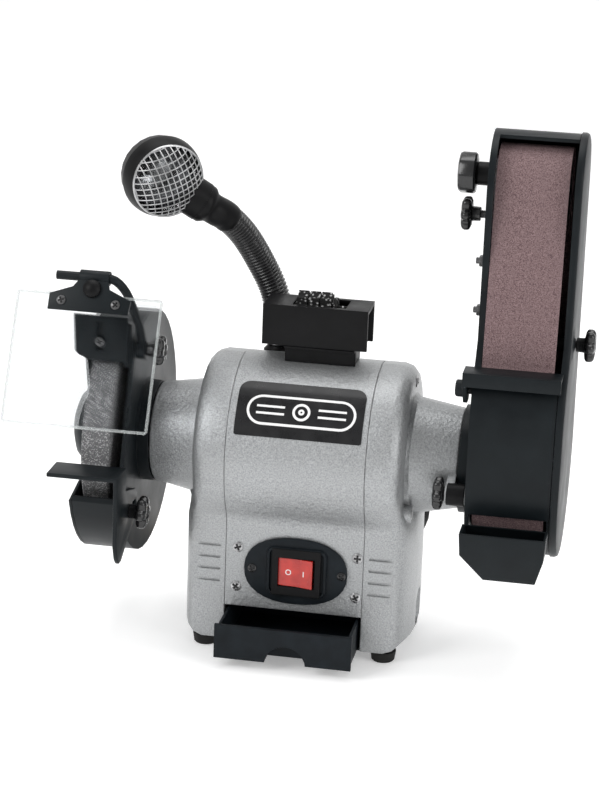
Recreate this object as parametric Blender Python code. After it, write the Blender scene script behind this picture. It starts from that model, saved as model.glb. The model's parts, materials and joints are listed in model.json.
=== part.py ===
"""Combination bench grinder: a 150 mm grinding wheel on the left and a 50 mm belt sander on the right.

Every length below is in millimetres; MM turns it into Blender's metres when a mesh is made.
+X runs along the shaft towards the sander, +Y away from the operator and +Z up. Z = 0 is the bench,
and the shaft's axis runs along X at height SHAFT_Z. The root empty moves the whole machine so that
the origin lies under the middle of its bounding box.
"""
import math

import bmesh
import bpy
from mathutils import Matrix, Vector

MM = 0.001
GAP = 0.3  # clearance between touching pieces
MIDDLE = (1.0, -13.05)  # the middle of the machine without its cord, from the shaft's middle

# motor body
SHAFT_Z = 145.0
BARREL_R = 65.0
BODY_WALL = 5.0
SHELL_HALF = 50.0
PANEL_Y = 49.4
BASE_Z = 8.0
NECK_FILLET = 20.0
CAP_FACE_X = 75.0
CAP_BULGE = 10.5
CAP_EDGE = 10.0
TUBE_ROOT_R = 41.5
TUBE_END_R = 35.6
TUBE_END_X = 111.7
SPIGOT_R = 33.0
SPIGOT_END_X = 117.0
SEAT_R = 17.6
SEAT_X = (97.0, 109.0)
GROOVE_HEIGHTS = (52.0, 61.0, 70.0, 79.0)
LUG_HOLE_X = 80.0

# drawer and switch
DRAWER_TOP = 33.0
DRAWER_OPEN = 36.5
DRAWER_HALF = 47.9
DRAWER_LENGTH = 88.0
SWITCH_X = 2.5
SWITCH_Z = 65.0
PLATE_HALF = (37.5, 25.0)
BEZEL_HALF = 17.5
ROCKER_HALF = (12.7, 10.5)
ROCKER_REST_DEG = 8.0

# rotor
SHAFT_R = 7.1
BORE_R = 7.5
WHEEL_R = 75.0
WHEEL_X = (-151.5, -131.5)
ROTOR_R = 34.0
STATOR_R = 59.6
STATOR_HALF = 24.0

# wheel guard and its fittings
GUARD_R = 88.5
GUARD_X = (-155.5, -120.3)
GUARD_WALL = 3.0
GUARD_TOP_DEG = 120.0
GUARD_BOTTOM_DEG = -159.5
ARRESTER_X = (-164.5, -125.0)
CLAMP_YZ = (-38.0, 217.0)
ROD_R = 3.2
ROD_YZ = (-66.0, 273.5)
SHIELD_LEAN_DEG = 26.0
REST_KNOB_YZ = (-68.0, 105.0)

# dresser and lamp
DRESSER_X = (-34.9, 40.6)
DRESSER_Y = (-18.0, 14.0)
DRESSER_Z = (222.5, 252.0)
DRESSER_WALL = 3.0
CUTTER_AXIS_YZ = (-2.0, 248.4)
CUTTER_R = 11.5
HOSE_R = 7.5
HEAD_CENTRE = (-111.0, -15.0, 338.0)
HEAD_R = 28.5
COLLAR_R = 14.5
LENS_AXIS = (0.57, -0.81, -0.11)
HOSE_ROUTE = (
    (-30, 30, 210), (-31.5, 30, 230), (-36, 29.5, 250), (-45, 26, 270),
    (-56, 16, 292), (-67, 5, 307), (-76, -4, 314.5),
)

# sander
ARM_X = (120.5, 179.7)
ARM_WALL = 2.5
ARM_LOW_R = 63.5
ARM_TOP_R = 37.0
IDLER_Z = 348.0
BELT_X = (125.5, 175.5)
DRIVE_BELT_R = 60.0  # to the middle of the belt's thickness, as is the next
IDLER_BELT_R = 27.4
BELT_THICKNESS = 1.0
HUB_R = 39.0
LOCK_YZ = (-50.0, 134.0)
LOCK_LUG_X = (105.5, 111.4)
WORK_REST_YZ = (-50.0, 212.0)
COVER_KNOB_Z = 236.0
TRACKING_Z = 353.0
TENSION_Z = 324.3
SPRING_Z = (296.3, 317.7)

# mains cord, wound up behind the body
CORD_D = 7.0
GLAND_X = 64.0
GLAND_Z = 84.0
GLAND_LENGTH = 19.2
COIL_CENTRE = (10.9, 113.6)
COIL_MEAN_R = 42.0
COIL_TURNS_WIDE = 3
COIL_TURNS_HIGH = 2
CORD_ROUTE = (
    (64, 70, 84), (66, 83, 83.2), (70.5, 95, 78.8), (74.2, 104.5, 69.5), (73.5, 112, 57), (69, 119, 44.5),
    (64.5, 127.5, 32), (60.8, 137, 20.8), (56.5, 147, 12.2), (50, 155.3, 6.6), (41.5, 160.8, 4.2),
)
PLUG_LEAVES_DEG = 120.0  # where round the coil the last turn leaves it for the plug

ROOT = None
MATERIALS = {}


# ---------------------------------------------------------------- materials
def material(name, color, roughness, metallic=0.0, alpha=1.0):
    mat = bpy.data.materials.new(name)
    mat.use_nodes = True
    shader = mat.node_tree.nodes["Principled BSDF"]
    shader.inputs["Base Color"].default_value = (*color, 1.0)
    shader.inputs["Roughness"].default_value = roughness
    shader.inputs["Metallic"].default_value = metallic
    shader.inputs["Alpha"].default_value = alpha
    mat.diffuse_color = (*color, alpha)
    MATERIALS[name] = mat


def make_materials():
    material("silver_paint", (0.36, 0.37, 0.38), 0.42, 0.35)
    material("black_paint", (0.022, 0.027, 0.028), 0.45)
    material("black_plastic", (0.014, 0.014, 0.015), 0.38)
    material("rubber", (0.012, 0.012, 0.012), 0.8)
    material("steel", (0.45, 0.45, 0.46), 0.3, 1.0)
    material("laminated_steel", (0.2, 0.2, 0.21), 0.5, 1.0)
    material("copper", (0.6, 0.25, 0.1), 0.35, 1.0)
    material("abrasive_wheel", (0.2, 0.2, 0.2), 0.95)
    material("abrasive_belt", (0.22, 0.13, 0.13), 0.95)
    material("cast_aluminium", (0.5, 0.5, 0.5), 0.45, 1.0)
    material("clear_plastic", (0.9, 0.93, 0.95), 0.05, 0.0, 0.25)
    material("glass", (0.95, 0.95, 0.93), 0.05, 0.0, 0.35)
    material("red_plastic", (0.6, 0.04, 0.03), 0.35)
    material("white_plastic", (0.7, 0.7, 0.68), 0.4)


# ---------------------------------------------------------------- mesh helpers
def place(direction, at, across=(0, 0, 1)):
    """The matrix that carries local +Z to direction and the local origin to at."""
    forward = Vector(direction).normalized()
    hint = Vector(across)
    if abs(forward.dot(hint.normalized())) > 0.99:
        hint = Vector((0, 1, 0))
    side = hint.cross(forward).normalized()
    up = forward.cross(side)
    matrix = Matrix((side, up, forward)).transposed().to_4x4()
    matrix.translation = Vector(at)
    return matrix


def add_object(name, bm, mat, origin=(0, 0, 0), smooth=35):
    """Makes an object of a mesh in millimetres, with its origin at the given point."""
    bmesh.ops.remove_doubles(bm, verts=bm.verts, dist=1e-4)
    bmesh.ops.recalc_face_normals(bm, faces=bm.faces)
    bmesh.ops.translate(bm, verts=bm.verts, vec=-Vector(origin))
    bmesh.ops.scale(bm, verts=bm.verts, vec=(MM, MM, MM))
    mesh = bpy.data.meshes.new(name)
    bm.to_mesh(mesh)
    bm.free()
    mesh.shade_smooth()
    mesh.set_sharp_from_angle(angle=math.radians(smooth))
    obj = bpy.data.objects.new(name, mesh)
    bpy.context.scene.collection.objects.link(obj)
    obj.parent = ROOT
    obj.location = Vector(origin) * MM
    mesh.materials.append(MATERIALS[mat])
    return obj


def add_helper(name, bm):
    """A cutter or a piece to be joined on, left out of the model itself."""
    obj = add_object(name, bm, "steel")
    obj.hide_render = True
    obj.display_type = "WIRE"
    return obj


def combine(obj, operation, meshes):
    """Cuts meshes out of an object, or joins them onto it."""
    for bm in meshes:
        name = f"{operation.lower()}_{len(obj.modifiers)}"
        modifier = obj.modifiers.new(name, "BOOLEAN")
        modifier.operation = operation
        modifier.object = add_helper(f"{obj.name}_{name}", bm)


def cut(obj, *meshes):
    combine(obj, "DIFFERENCE", meshes)


def join(obj, *meshes):
    combine(obj, "UNION", meshes)


def loft(rings, closed=False):
    """Faces between rings of equal length; the ends are capped unless the last ring meets the first."""
    bm = bmesh.new()
    rows = [[bm.verts.new(point) for point in ring] for ring in rings]
    pairs = list(zip(rows, rows[1:]))
    if closed:
        pairs.append((rows[-1], rows[0]))
    count = len(rings[0])
    for lower, upper in pairs:
        for i in range(count):
            j = (i + 1) % count
            bm.faces.new((lower[i], lower[j], upper[j], upper[i]))
    if not closed:
        bm.faces.new(rows[0][::-1])
        bm.faces.new(rows[-1])
    return bm


def circle(radius, count, height=0.0, phase=0.0):
    angles = [phase + math.tau * i / count for i in range(count)]
    return [Vector((radius * math.cos(a), radius * math.sin(a), height)) for a in angles]


def turned(profile, axis=(0, 0, 1), at=(0, 0, 0), count=24, ring=False):
    """A solid of revolution: profile holds (distance along the axis, radius) pairs."""
    bm = loft([circle(radius, count, along) for along, radius in profile], ring)
    bm.transform(place(axis, at))
    return bm


def turned_x(profile, y=0.0, z=SHAFT_Z, count=24, ring=False):
    return turned(profile, (1, 0, 0), (0, y, z), count, ring)


def rod_x(lo, hi, radius, y=0.0, z=SHAFT_Z, count=24):
    return turned_x([(lo, radius), (hi, radius)], y, z, count)


def sleeve(lo, hi, bore, radius):
    """The profile of a plain ring."""
    return [(lo, bore), (lo, radius), (hi, radius), (hi, bore)]


def box(x, y, z):
    bm = bmesh.new()
    bmesh.ops.create_cube(bm, size=1.0)
    bmesh.ops.scale(bm, verts=bm.verts, vec=(x[1] - x[0], y[1] - y[0], z[1] - z[0]))
    centre = Vector((sum(x) / 2, sum(y) / 2, sum(z) / 2))
    bmesh.ops.translate(bm, verts=bm.verts, vec=centre)
    return bm


def prism(outline, lo, hi, to_world):
    """An outline pushed through from lo to hi; to_world makes a point of (a, b, depth)."""
    bm = bmesh.new()
    face = bm.faces.new([bm.verts.new(to_world(a, b, lo)) for a, b in outline])
    moved = bmesh.ops.extrude_face_region(bm, geom=[face])
    verts = [v for v in moved["geom"] if isinstance(v, bmesh.types.BMVert)]
    push = Vector(to_world(0, 0, hi)) - Vector(to_world(0, 0, lo))
    bmesh.ops.translate(bm, verts=verts, vec=push)
    bmesh.ops.recalc_face_normals(bm, faces=bm.faces)
    return bm


def along_x(outline, lo, hi):
    """A prism along X of an outline of (y, z) points."""
    return prism(outline, lo, hi, lambda a, b, d: (d, a, b))


def along_y(outline, lo, hi):
    """A prism along Y of an outline of (x, z) points."""
    return prism(outline, lo, hi, lambda a, b, d: (a, d, b))


def arc(centre, radius, start, end, steps):
    """Points on a circle from one angle to another, in degrees, both ends included."""
    angles = [math.radians(start + (end - start) * i / steps) for i in range(steps + 1)]
    return [(centre[0] + radius * math.cos(a), centre[1] + radius * math.sin(a)) for a in angles]


def mix(a, b, share):
    return a + (b - a) * share


def smooth_path(route, steps):
    """A Catmull-Rom curve through the route, with the same number of steps in each stretch."""
    points = [Vector(p) for p in route]
    points = [2 * points[0] - points[1], *points, 2 * points[-1] - points[-2]]
    path = []
    for p0, p1, p2, p3 in zip(points, points[1:], points[2:], points[3:]):
        for i in range(steps):
            t = i / steps
            path.append(
                0.5 * (2 * p1 + (p2 - p0) * t + (2 * p0 - 5 * p1 + 4 * p2 - p3) * t * t
                       + (3 * p1 - p0 - 3 * p2 + p3) * t ** 3)
            )
    path.append(points[-2])
    return path


def swept(stations, count=12):
    """A tube through stations of (point, direction, radius)."""
    rings = []
    side = None
    for point, direction, radius in stations:
        forward = Vector(direction).normalized()
        if side is None:
            side = forward.orthogonal()
        side = (side - forward * side.dot(forward)).normalized()
        other = forward.cross(side)
        angles = [math.tau * i / count for i in range(count)]
        rings.append([
            Vector(point) + radius * (math.cos(a) * side + math.sin(a) * other) for a in angles
        ])
    return loft(rings)


def tube_curve(name, points, diameter, mat):
    """A plain tube along points, as a curve with a round bevel."""
    data = bpy.data.curves.new(name, "CURVE")
    data.dimensions = "3D"
    data.bevel_depth = diameter / 2 * MM
    data.bevel_resolution = 2
    data.use_fill_caps = True
    spline = data.splines.new("POLY")
    spline.points.add(len(points) - 1)
    for target, point in zip(spline.points, points):
        target.co = (*(Vector(point) * MM), 1.0)
    obj = bpy.data.objects.new(name, data)
    bpy.context.scene.collection.objects.link(obj)
    obj.parent = ROOT
    data.materials.append(MATERIALS[mat])
    return obj


# ---------------------------------------------------------------- motor body
def neck_centre():
    """Where the concave corner between barrel and foot is centred, as (y, z) on the rear side."""
    y = PANEL_Y + NECK_FILLET
    return y, SHAFT_Z - math.sqrt((BARREL_R + NECK_FILLET) ** 2 - y * y)


def body_outline(inset, barrel_steps):
    """The body seen along X, as (y, z) points: a round barrel on a straight-sided foot."""
    y_neck, z_neck = neck_centre()
    depth = PANEL_Y - inset
    bottom = BASE_Z + inset
    meet = math.degrees(math.atan2(SHAFT_Z - z_neck, -y_neck))
    floor = [(mix(-depth, depth, i / 4), bottom) for i in range(4)]
    side = [(depth, mix(bottom, z_neck, i / 3)) for i in range(3)]
    neck = arc((y_neck, z_neck), NECK_FILLET + inset, 180, meet, 3)[:-1]
    rear = side + neck
    start = meet - 180
    barrel = arc((0, SHAFT_Z), BARREL_R - inset, start, 180 - start, barrel_steps)
    front = [(-y, z) for y, z in rear[::-1]]
    return floor + rear + barrel + front[:-1]


def cap_face(y, z):
    """How far out the end cap's face stands at a place: flat round the tube, swelling at the foot."""
    rise = min(max((118 - z) / 18, 0.0), 1.0)
    rise = rise * rise * (3 - 2 * rise)
    return CAP_FACE_X + CAP_BULGE * rise * max(0.0, 1 - (y / PANEL_Y) ** 2 * 0.85)


def end_cap(name, side):
    """The cast end of the body with its bearing tube; side is -1 for left and 1 for right."""
    steps = 16
    polar = [math.atan2(z - SHAFT_Z, y) for y, z in body_outline(0.0, steps)]

    def ring(reach, inset=0.0, share=0.0, radius=0.0):
        points = []
        for (y, z), angle in zip(body_outline(inset, steps), polar):
            y = mix(y, radius * math.cos(angle), share)
            z = mix(z, SHAFT_Z + radius * math.sin(angle), share)
            points.append(Vector((side * reach(y, z), y, z)))
        return points

    def level(x):
        return lambda y, z: x

    def round_ring(x, radius):
        return ring(level(x), 0.0, 1.0, radius)

    seam = SHELL_HALF + GAP / 2
    rings = [ring(level(seam)), ring(lambda y, z: cap_face(y, z) - CAP_EDGE)]
    for degrees in (35, 65, 90):
        drop = CAP_EDGE * (1 - math.sin(math.radians(degrees)))
        inset = CAP_EDGE * (1 - math.cos(math.radians(degrees)))
        rings.append(ring(lambda y, z, drop=drop: cap_face(y, z) - drop, inset))
    rings.append(ring(cap_face, CAP_EDGE, 0.6, TUBE_ROOT_R))
    rings.append(ring(cap_face, CAP_EDGE, 1.0, TUBE_ROOT_R + 3))
    rings.append(ring(lambda y, z: cap_face(y, z) + 3, CAP_EDGE, 1.0, TUBE_ROOT_R))
    rings += [
        round_ring(TUBE_END_X - 1, TUBE_END_R + 0.6),
        round_ring(TUBE_END_X, TUBE_END_R - 0.6),
        round_ring(TUBE_END_X, SPIGOT_R),
        round_ring(SPIGOT_END_X, SPIGOT_R),
        round_ring(SPIGOT_END_X, 9.5),
        round_ring(SEAT_X[1], 9.5),
        round_ring(SEAT_X[1], SEAT_R),
        round_ring(SEAT_X[0], SEAT_R),
        round_ring(SEAT_X[0], 29),
        round_ring(80, 33),
        ring(level(70.5), 13, 0.3, 33),
        ring(level(66), BODY_WALL + 1),
        ring(level(seam), BODY_WALL),
    ]
    cap = add_object(name, loft(rings, closed=True), "silver_paint")
    grooves = [
        box(sorted((side * 54, side * 92)), (-60, -PANEL_Y + 1.3), (z - 0.8, z + 0.8))
        for z in GROOVE_HEIGHTS
    ]
    pocket = turned([(15, 11), (36, 11), (43, 6)], at=(side * 88, 0, 0), count=20)
    bolt_hole = turned([(0, 4.5), (20, 4.5)], at=(side * LUG_HOLE_X, 0, 0), count=16)
    cut(cap, *grooves, pocket, bolt_hole)
    if side > 0:
        lock_lug(cap)
        cut(cap, turned([(30, 5.9), (60, 5.9)], (0, 1, 0), (GLAND_X, 0, GLAND_Z), 16))


def lock_lug(cap):
    """The lug under the right tube that the sander arm's lock knob clamps the arm against."""
    x0, x1 = LOCK_LUG_X
    outline = arc(LOCK_YZ, 7, 102, 282, 8) + [(-27, 132), (-30, 145.5)]
    join(cap, along_x(outline, x0, x1), rod_x(x0, ARM_X[0] - GAP, 7, *LOCK_YZ, 16))
    cut(cap, rod_x(x0 - 5, ARM_X[0] + 5, 3.4, *LOCK_YZ, 14))


def motor_shell():
    depth = PANEL_Y - BODY_WALL
    bore = BARREL_R - BODY_WALL
    outer = body_outline(0.0, 32)
    start = outer.index((PANEL_Y, BASE_Z))
    outer = outer[start:-2]
    front_top = (-PANEL_Y, DRAWER_TOP + 1)
    reach = math.degrees(math.asin(math.sqrt(1 - (depth / bore) ** 2)))
    inner = arc((0, SHAFT_Z), bore, 180 + reach, -reach, 32)
    outline = outer + [front_top, (-depth, DRAWER_TOP + 1)] + inner + [(depth, BASE_Z)]
    shell = add_object(
        "motor_shell",
        along_x(outline, -SHELL_HALF + GAP / 2, SHELL_HALF - GAP / 2),
        "silver_paint",
    )
    cut(shell, box((SWITCH_X - 15, SWITCH_X + 15), (-60, -40), (SWITCH_Z - 13, SWITCH_Z + 13)))


def base_plate():
    half = 54.0
    rail = (DRAWER_HALF + GAP + 0.2, DRAWER_HALF + GAP + 1.4)
    top = BASE_Z - GAP
    outline = [
        (-half, top - 1.5), (half, top - 1.5), (half, top), (rail[1], top), (rail[1], 30),
        (rail[0], 30), (rail[0], top), (-rail[0], top), (-rail[0], 30), (-rail[1], 30),
        (-rail[1], top), (-half, top),
    ]
    back = PANEL_Y - BODY_WALL - 0.5
    add_object("base_plate", along_y(outline, -PANEL_Y + 5.5, back), "black_paint")


def feet():
    for name, x, y in (
        ("foot_front_left", -65, -40), ("foot_front_right", 66, -40),
        ("foot_rear_left", -65, 40), ("foot_rear_right", 66, 40),
    ):
        profile = [(0, 7.5), (1, 8.5), (BASE_Z - GAP, 9.5)]
        add_object(name, turned(profile, at=(x, y, 0), count=16), "rubber")


def drawer():
    """The storage drawer, drawn part of the way out."""
    front = -PANEL_Y - DRAWER_OPEN - 0.6
    back = front + DRAWER_LENGTH
    wide = SHELL_HALF - 0.6
    tray = add_object(
        "drawer",
        box((-DRAWER_HALF, DRAWER_HALF), (front + 2.4, back), (BASE_Z, DRAWER_TOP - 2)),
        "black_plastic",
    )
    half = DRAWER_HALF - 1.8
    join(tray, box((-wide, wide), (front, front + 2.6), (BASE_Z - 0.2, DRAWER_TOP)))
    cut(tray, box((-half, half), (front + 4.6, back - 1.8), (BASE_Z + 1.8, DRAWER_TOP + 5)))
    pull = arc((2, BASE_Z + 1), 14.8, 0, 180, 10)
    join(tray, along_y(pull, front + 1, front + 15))
    cut(tray, along_y(arc((2, BASE_Z - 2), 15, 0, 180, 10), front - 2, front + 13.2))


# ---------------------------------------------------------------- switch
def oval(half_width, half_height, count=32, squareness=2.3):
    """A rounded oval, as (x, z) points about the origin."""
    points = []
    for i in range(count):
        a = math.tau * i / count
        x = math.copysign(abs(math.cos(a)) ** (2 / squareness), math.cos(a))
        z = math.copysign(abs(math.sin(a)) ** (2 / squareness), math.sin(a))
        points.append((half_width * x, half_height * z))
    return points


def switch_parts():
    face = -PANEL_Y - GAP
    outline = [(SWITCH_X - 1 + x, SWITCH_Z + z) for x, z in oval(*PLATE_HALF)]
    plate = add_object("switch_plate", along_y(outline, face - 2.2, face), "black_plastic")
    cut(plate, box((SWITCH_X - 14.8, SWITCH_X + 14.8), (-60, -40), (SWITCH_Z - 12.8, SWITCH_Z + 12.8)))
    lip = face - 2.2 - GAP
    body = add_object(
        "switch_body",
        box((SWITCH_X - 14.4, SWITCH_X + 14.4), (lip - 1, -26), (SWITCH_Z - 12.4, SWITCH_Z + 12.4)),
        "black_plastic",
    )
    square = (-BEZEL_HALF, BEZEL_HALF)
    join(body, box([SWITCH_X + v for v in square], (lip - 2.6, lip), [SWITCH_Z + v for v in square]))
    pocket = box((SWITCH_X - 13.3, SWITCH_X + 13.3), (-70, lip + 9), (SWITCH_Z - 10.9, SWITCH_Z + 10.9))
    cut(body, pocket)
    rocker(lip)


def rocker(lip):
    """The red rocker, pressed in at its O end; it tips about a vertical pin."""
    pivot = (SWITCH_X, lip + 2.0, SWITCH_Z)
    half, tall = ROCKER_HALF
    outline = [(-half, -4.6), (-half * 0.5, -4.3), (0, -3.6), (half * 0.5, -4.3), (half, -4.6),
               (half * 0.92, 2.0), (2.5, 3.4), (-2.5, 3.4), (-half * 0.92, 2.0)]
    bm = prism(outline, -tall, tall, lambda a, b, d: (a, b, d))
    turn = Matrix.Rotation(math.radians(-ROCKER_REST_DEG), 4, "Z")
    bm.transform(Matrix.Translation(pivot) @ turn)
    add_object("rocker", bm, "red_plastic", pivot)


# ---------------------------------------------------------------- motor
def stator():
    slots = 6
    bore = ROTOR_R + 1.2
    teeth = []
    for i in range(slots * 8):
        angle = math.tau * (i + 0.5) / (slots * 8)
        radius = bore + 11 if i % 8 in (0, 1, 2) else bore
        teeth.append((radius * math.cos(angle), SHAFT_Z + radius * math.sin(angle)))
    core = add_object(
        "stator_core",
        rod_x(-STATOR_HALF, STATOR_HALF, STATOR_R, count=36),
        "laminated_steel",
    )
    cut(core, along_x(teeth, -STATOR_HALF - 5, STATOR_HALF + 5))
    low, high = bore + 1.5, bore + 9.5
    ends = [
        turned_x(sleeve(*sorted((side * (STATOR_HALF + GAP), side * (STATOR_HALF + 13))), low, 52), ring=True)
        for side in (-1, 1)
    ]
    windings = add_object("stator_windings", ends[0], "copper")
    bars = []
    for i in range(slots):
        angle = math.tau * (i * 8 + 1.5) / (slots * 8)
        bar = box((-STATOR_HALF - 3, STATOR_HALF + 3), (low + 0.5, high), (-2.6, 2.6))
        bar.transform(Matrix.Translation((0, 0, SHAFT_Z)) @ Matrix.Rotation(angle, 4, "X"))
        bars.append(bar)
    join(windings, *bars, ends[1])


def bearings():
    for name, side in (("bearing_left", -1), ("bearing_right", 1)):
        lo, hi = sorted((side * (SEAT_X[1] - 11.3), side * (SEAT_X[1] - GAP)))
        add_object(name, turned_x(sleeve(lo, hi, BORE_R, SEAT_R - 0.5), ring=True), "steel")


def capacitor():
    profile = [(-32, 16), (30, 16), (30, 5), (36, 5)]
    add_object("capacitor", turned_x(profile, 22, 62), "white_plastic")


def rotor():
    origin = (0, 0, SHAFT_Z)
    shaft = [(-168, 6), (-157.2, 6), (-157.2, SHAFT_R), (177, SHAFT_R)]
    add_object("shaft", turned_x(shaft), "steel", origin)
    core = sleeve(-STATOR_HALF, STATOR_HALF, BORE_R, ROTOR_R)
    add_object("rotor_core", turned_x(core, count=32, ring=True), "laminated_steel", origin)
    lo, hi = WHEEL_X
    edge = 1.2
    wheel = [(lo, BORE_R), (lo, WHEEL_R - edge), (lo + edge, WHEEL_R), (hi - edge, WHEEL_R),
             (hi, WHEEL_R - edge), (hi, BORE_R)]
    add_object("grinding_wheel", turned_x(wheel, count=48, ring=True), "abrasive_wheel", origin)
    inner = [(hi + GAP, BORE_R), (hi + GAP, 25), (hi + 4, 25), (hi + 5, 13), (-121.5, 12), (-121.5, BORE_R)]
    add_object("flange_inner", turned_x(inner, ring=True), "steel", origin)
    outer = [(lo - 5.4, BORE_R), (lo - 5.4, 14), (lo - 4, 25), (lo - GAP, 25), (lo - GAP, BORE_R)]
    add_object("flange_outer", turned_x(outer, ring=True), "steel", origin)
    add_object("wheel_nut", hexagon_nut(lo - 14.5, lo - 5.7, 10.5, 6.4), "steel", origin)
    x0, x1 = BELT_X[0] + 1.5, BELT_X[1] - 1.5
    rim = DRIVE_BELT_R - BELT_THICKNESS / 2 - GAP
    pulley = [(x0, BORE_R), (x0, 16), (147, 16), (147, 53), (x0, 53), (x0, rim),
              (x1, rim), (x1, 53), (153, 53), (153, 16), (x1, 16), (x1, BORE_R)]
    add_object("drive_pulley", turned_x(pulley, count=36, ring=True), "cast_aluminium", origin)


def hexagon_nut(lo, hi, corner_radius, bore):
    def ring(x, hexagonal):
        points = []
        for i in range(12):
            angle = math.tau * i / 12
            flat = math.cos(math.pi / 6) if i % 2 else 1.0
            radius = corner_radius * flat if hexagonal else bore
            points.append(Vector((x, radius * math.cos(angle), SHAFT_Z + radius * math.sin(angle))))
        return points

    return loft([ring(lo, False), ring(lo, True), ring(hi, True), ring(hi, False)], closed=True)


# ---------------------------------------------------------------- knobs
def star_knob(name, at, direction, radius, stud, neck=6.0, head=7.0):
    """A six-lobed knob: at is the tip of its neck, direction points from the neck to the head."""
    count = 18

    def lobed(height, scale):
        points = []
        for i in range(count):
            angle = math.tau * i / count
            reach = scale * radius * (1.0 if i % 3 else 0.82)
            points.append(Vector((reach * math.cos(angle), reach * math.sin(angle), height)))
        return points

    rings = [
        circle(3, count, -stud), circle(3, count, 0), circle(5, count, 0), circle(5, count, neck),
        lobed(neck + 0.5, 0.92), lobed(neck + 1.8, 1.0), lobed(neck + head - 1.5, 1.0),
        lobed(neck + head, 0.88),
    ]
    bm = loft(rings)
    bm.transform(place(direction, at))
    add_object(name, bm, "black_plastic", at, smooth=40)


# ---------------------------------------------------------------- wheel guard
def guard_outline():
    return arc((0, SHAFT_Z), GUARD_R, GUARD_TOP_DEG, GUARD_BOTTOM_DEG, 32)


def wheel_guard():
    """The fixed half of the guard: a plate beside the wheel with a band round its edge."""
    guard = add_object("wheel_guard", along_x(guard_outline(), *GUARD_X), "black_paint")
    plate = GUARD_X[1] - GUARD_WALL
    cut(guard, rod_x(GUARD_X[0] - 5, plate, GUARD_R - 2.5, count=48))
    collar = sleeve(GUARD_X[1] - 1, -TUBE_END_X - GAP, SPIGOT_R + 0.7, SPIGOT_R + 4.0)
    join(
        guard,
        turned_x(collar, count=32, ring=True),
        box((-154, -124), (-47.5, -44.8), (212, 237)),
        box((-128, plate + 1), (-47.5, -40), (205, 237)),
    )
    cut(guard, rod_x(plate - 5, GUARD_X[1] + 4, 14))


def guard_cover():
    """The removable outer side of the guard, domed over the wheel nut."""
    hi = GUARD_X[0] - GAP
    lo = hi - 2.0
    outline = guard_outline() + [(-40, 124), (-36, 136), (-36, 160), (-32, 176)]
    cover = add_object("guard_cover", along_x(outline, lo, hi), "black_paint")
    join(cover, turned_x([(lo - 16, 4), (lo - 15.4, 14), (lo - 12, 23), (lo - 6, 29), (lo + 1, 32)]))
    hollow = [(lo - 14, 4), (lo - 13.4, 12.5), (lo - 10.2, 21), (lo - 5, 26.5), (hi + 2, 29)]
    cut(cover, turned_x(hollow))


def spark_arrester():
    lo, hi = ARRESTER_X
    outline = [(hi, 209), (hi, 242), (lo, 242), (lo + 1, 215), (lo + 4, 212), (lo + 12, 209)]
    plate = add_object("spark_arrester", along_y(outline, -49.8, -47.8), "black_paint")
    middle = (lo + hi) / 2
    cut(plate, box((middle - 2.5, middle + 2.5), (-55, -40), (216, 237)))


def tool_rest():
    """The rest in front of the wheel: a table bent off an arm that slides on its clamp stud."""
    x0, x1 = GUARD_X[1] + GAP, GUARD_X[1] + GAP + 3.0
    ear = [(-105, 141), (-105, 90), (-101, 80), (-96, 75), (-90, 75), (-66, 88), (-50, 94),
           (-46, 100), (-46, 112), (-52, 117), (-79, 124), (-79, 141)]
    arm = add_object("tool_rest", along_x(ear, x0, x1), "black_paint")
    join(arm, box((-168, x1 - 0.5), (-105, -79), (138, 141)))
    y, z = REST_KNOB_YZ
    slot = arc((y - 1.5, z), 3.5, 90, 270, 6) + arc((y + 16, z), 3.5, -90, 90, 6)
    cut(arm, along_x(slot, x0 - 2, x1 + 2))
    star_knob("tool_rest_knob", (x1 + GAP, y, z), (1, 0, 0), 12, x1 + GAP - x0)


def shield_parts():
    """The eye shield on its bracket, the rod that carries it and their clamps."""
    y, z = CLAMP_YZ
    plate = GUARD_X[1] + GAP
    rod_y, rod_z = ROD_YZ
    route = [(plate + 3.5, y - 2, z + 4), (plate + 2.7, -46, 235), (-120.4, -54, 250), (-123.5, -61, 263),
             (-130.5, rod_y, rod_z - 1), (-142, rod_y, rod_z), (-172, rod_y, rod_z)]
    path = smooth_path(route, 3)
    stations = [
        (point, path[min(i + 1, len(path) - 1)] - path[max(i - 1, 0)], ROD_R)
        for i, point in enumerate(path)
    ]
    rod = add_object("shield_rod", swept(stations, 10), "black_paint", (plate, y, z))
    join(rod, rod_x(plate, plate + 6.5, 7.5, y, z, 16))
    cut(rod, rod_x(plate - 2, plate + 9, 3.5, y, z, 16))
    star_knob("shield_clamp_knob", (plate + 6.5 + GAP, y, z), (1, 0, 0), 11, 6.5)

    lean = Matrix.Translation((0, *ROD_YZ)) @ Matrix.Rotation(math.radians(-SHIELD_LEAN_DEG), 4, "X")
    outline = [(-155, -3.2), (-158.5, -8), (-174.5, -14), (-174.7, -25.2), (-117.5, -25.2), (-116.5, -15.5),
               (-132.5, -8.5), (-134, -3.2)]
    bracket_mesh = along_y(outline, -4.6, -2.6)
    bracket_mesh.transform(lean)
    origin = (-145, *ROD_YZ)
    bracket = add_object("shield_bracket", bracket_mesh, "black_paint", origin)
    roll = turned(sleeve(-155, -134, ROD_R + 0.5, ROD_R + 1.9), (1, 0, 0), (0, *ROD_YZ), 16, True)
    join(bracket, roll)
    pane = box((-198, -95), (-2.3, -0.3), (-106, -13))
    pane.transform(lean)
    add_object("eye_shield", pane, "clear_plastic", origin)
    normal = lean.to_3x3() @ Vector((0, -1, 0))
    centre = lean @ Vector((-144.6, -4.6 - GAP, -9))
    button = [(0, 6.5), (2.2, 6.2), (4, 4.4), (5, 1.5)]
    add_object("shield_knob", turned(button, normal, centre, 16), "black_plastic", centre)


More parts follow.
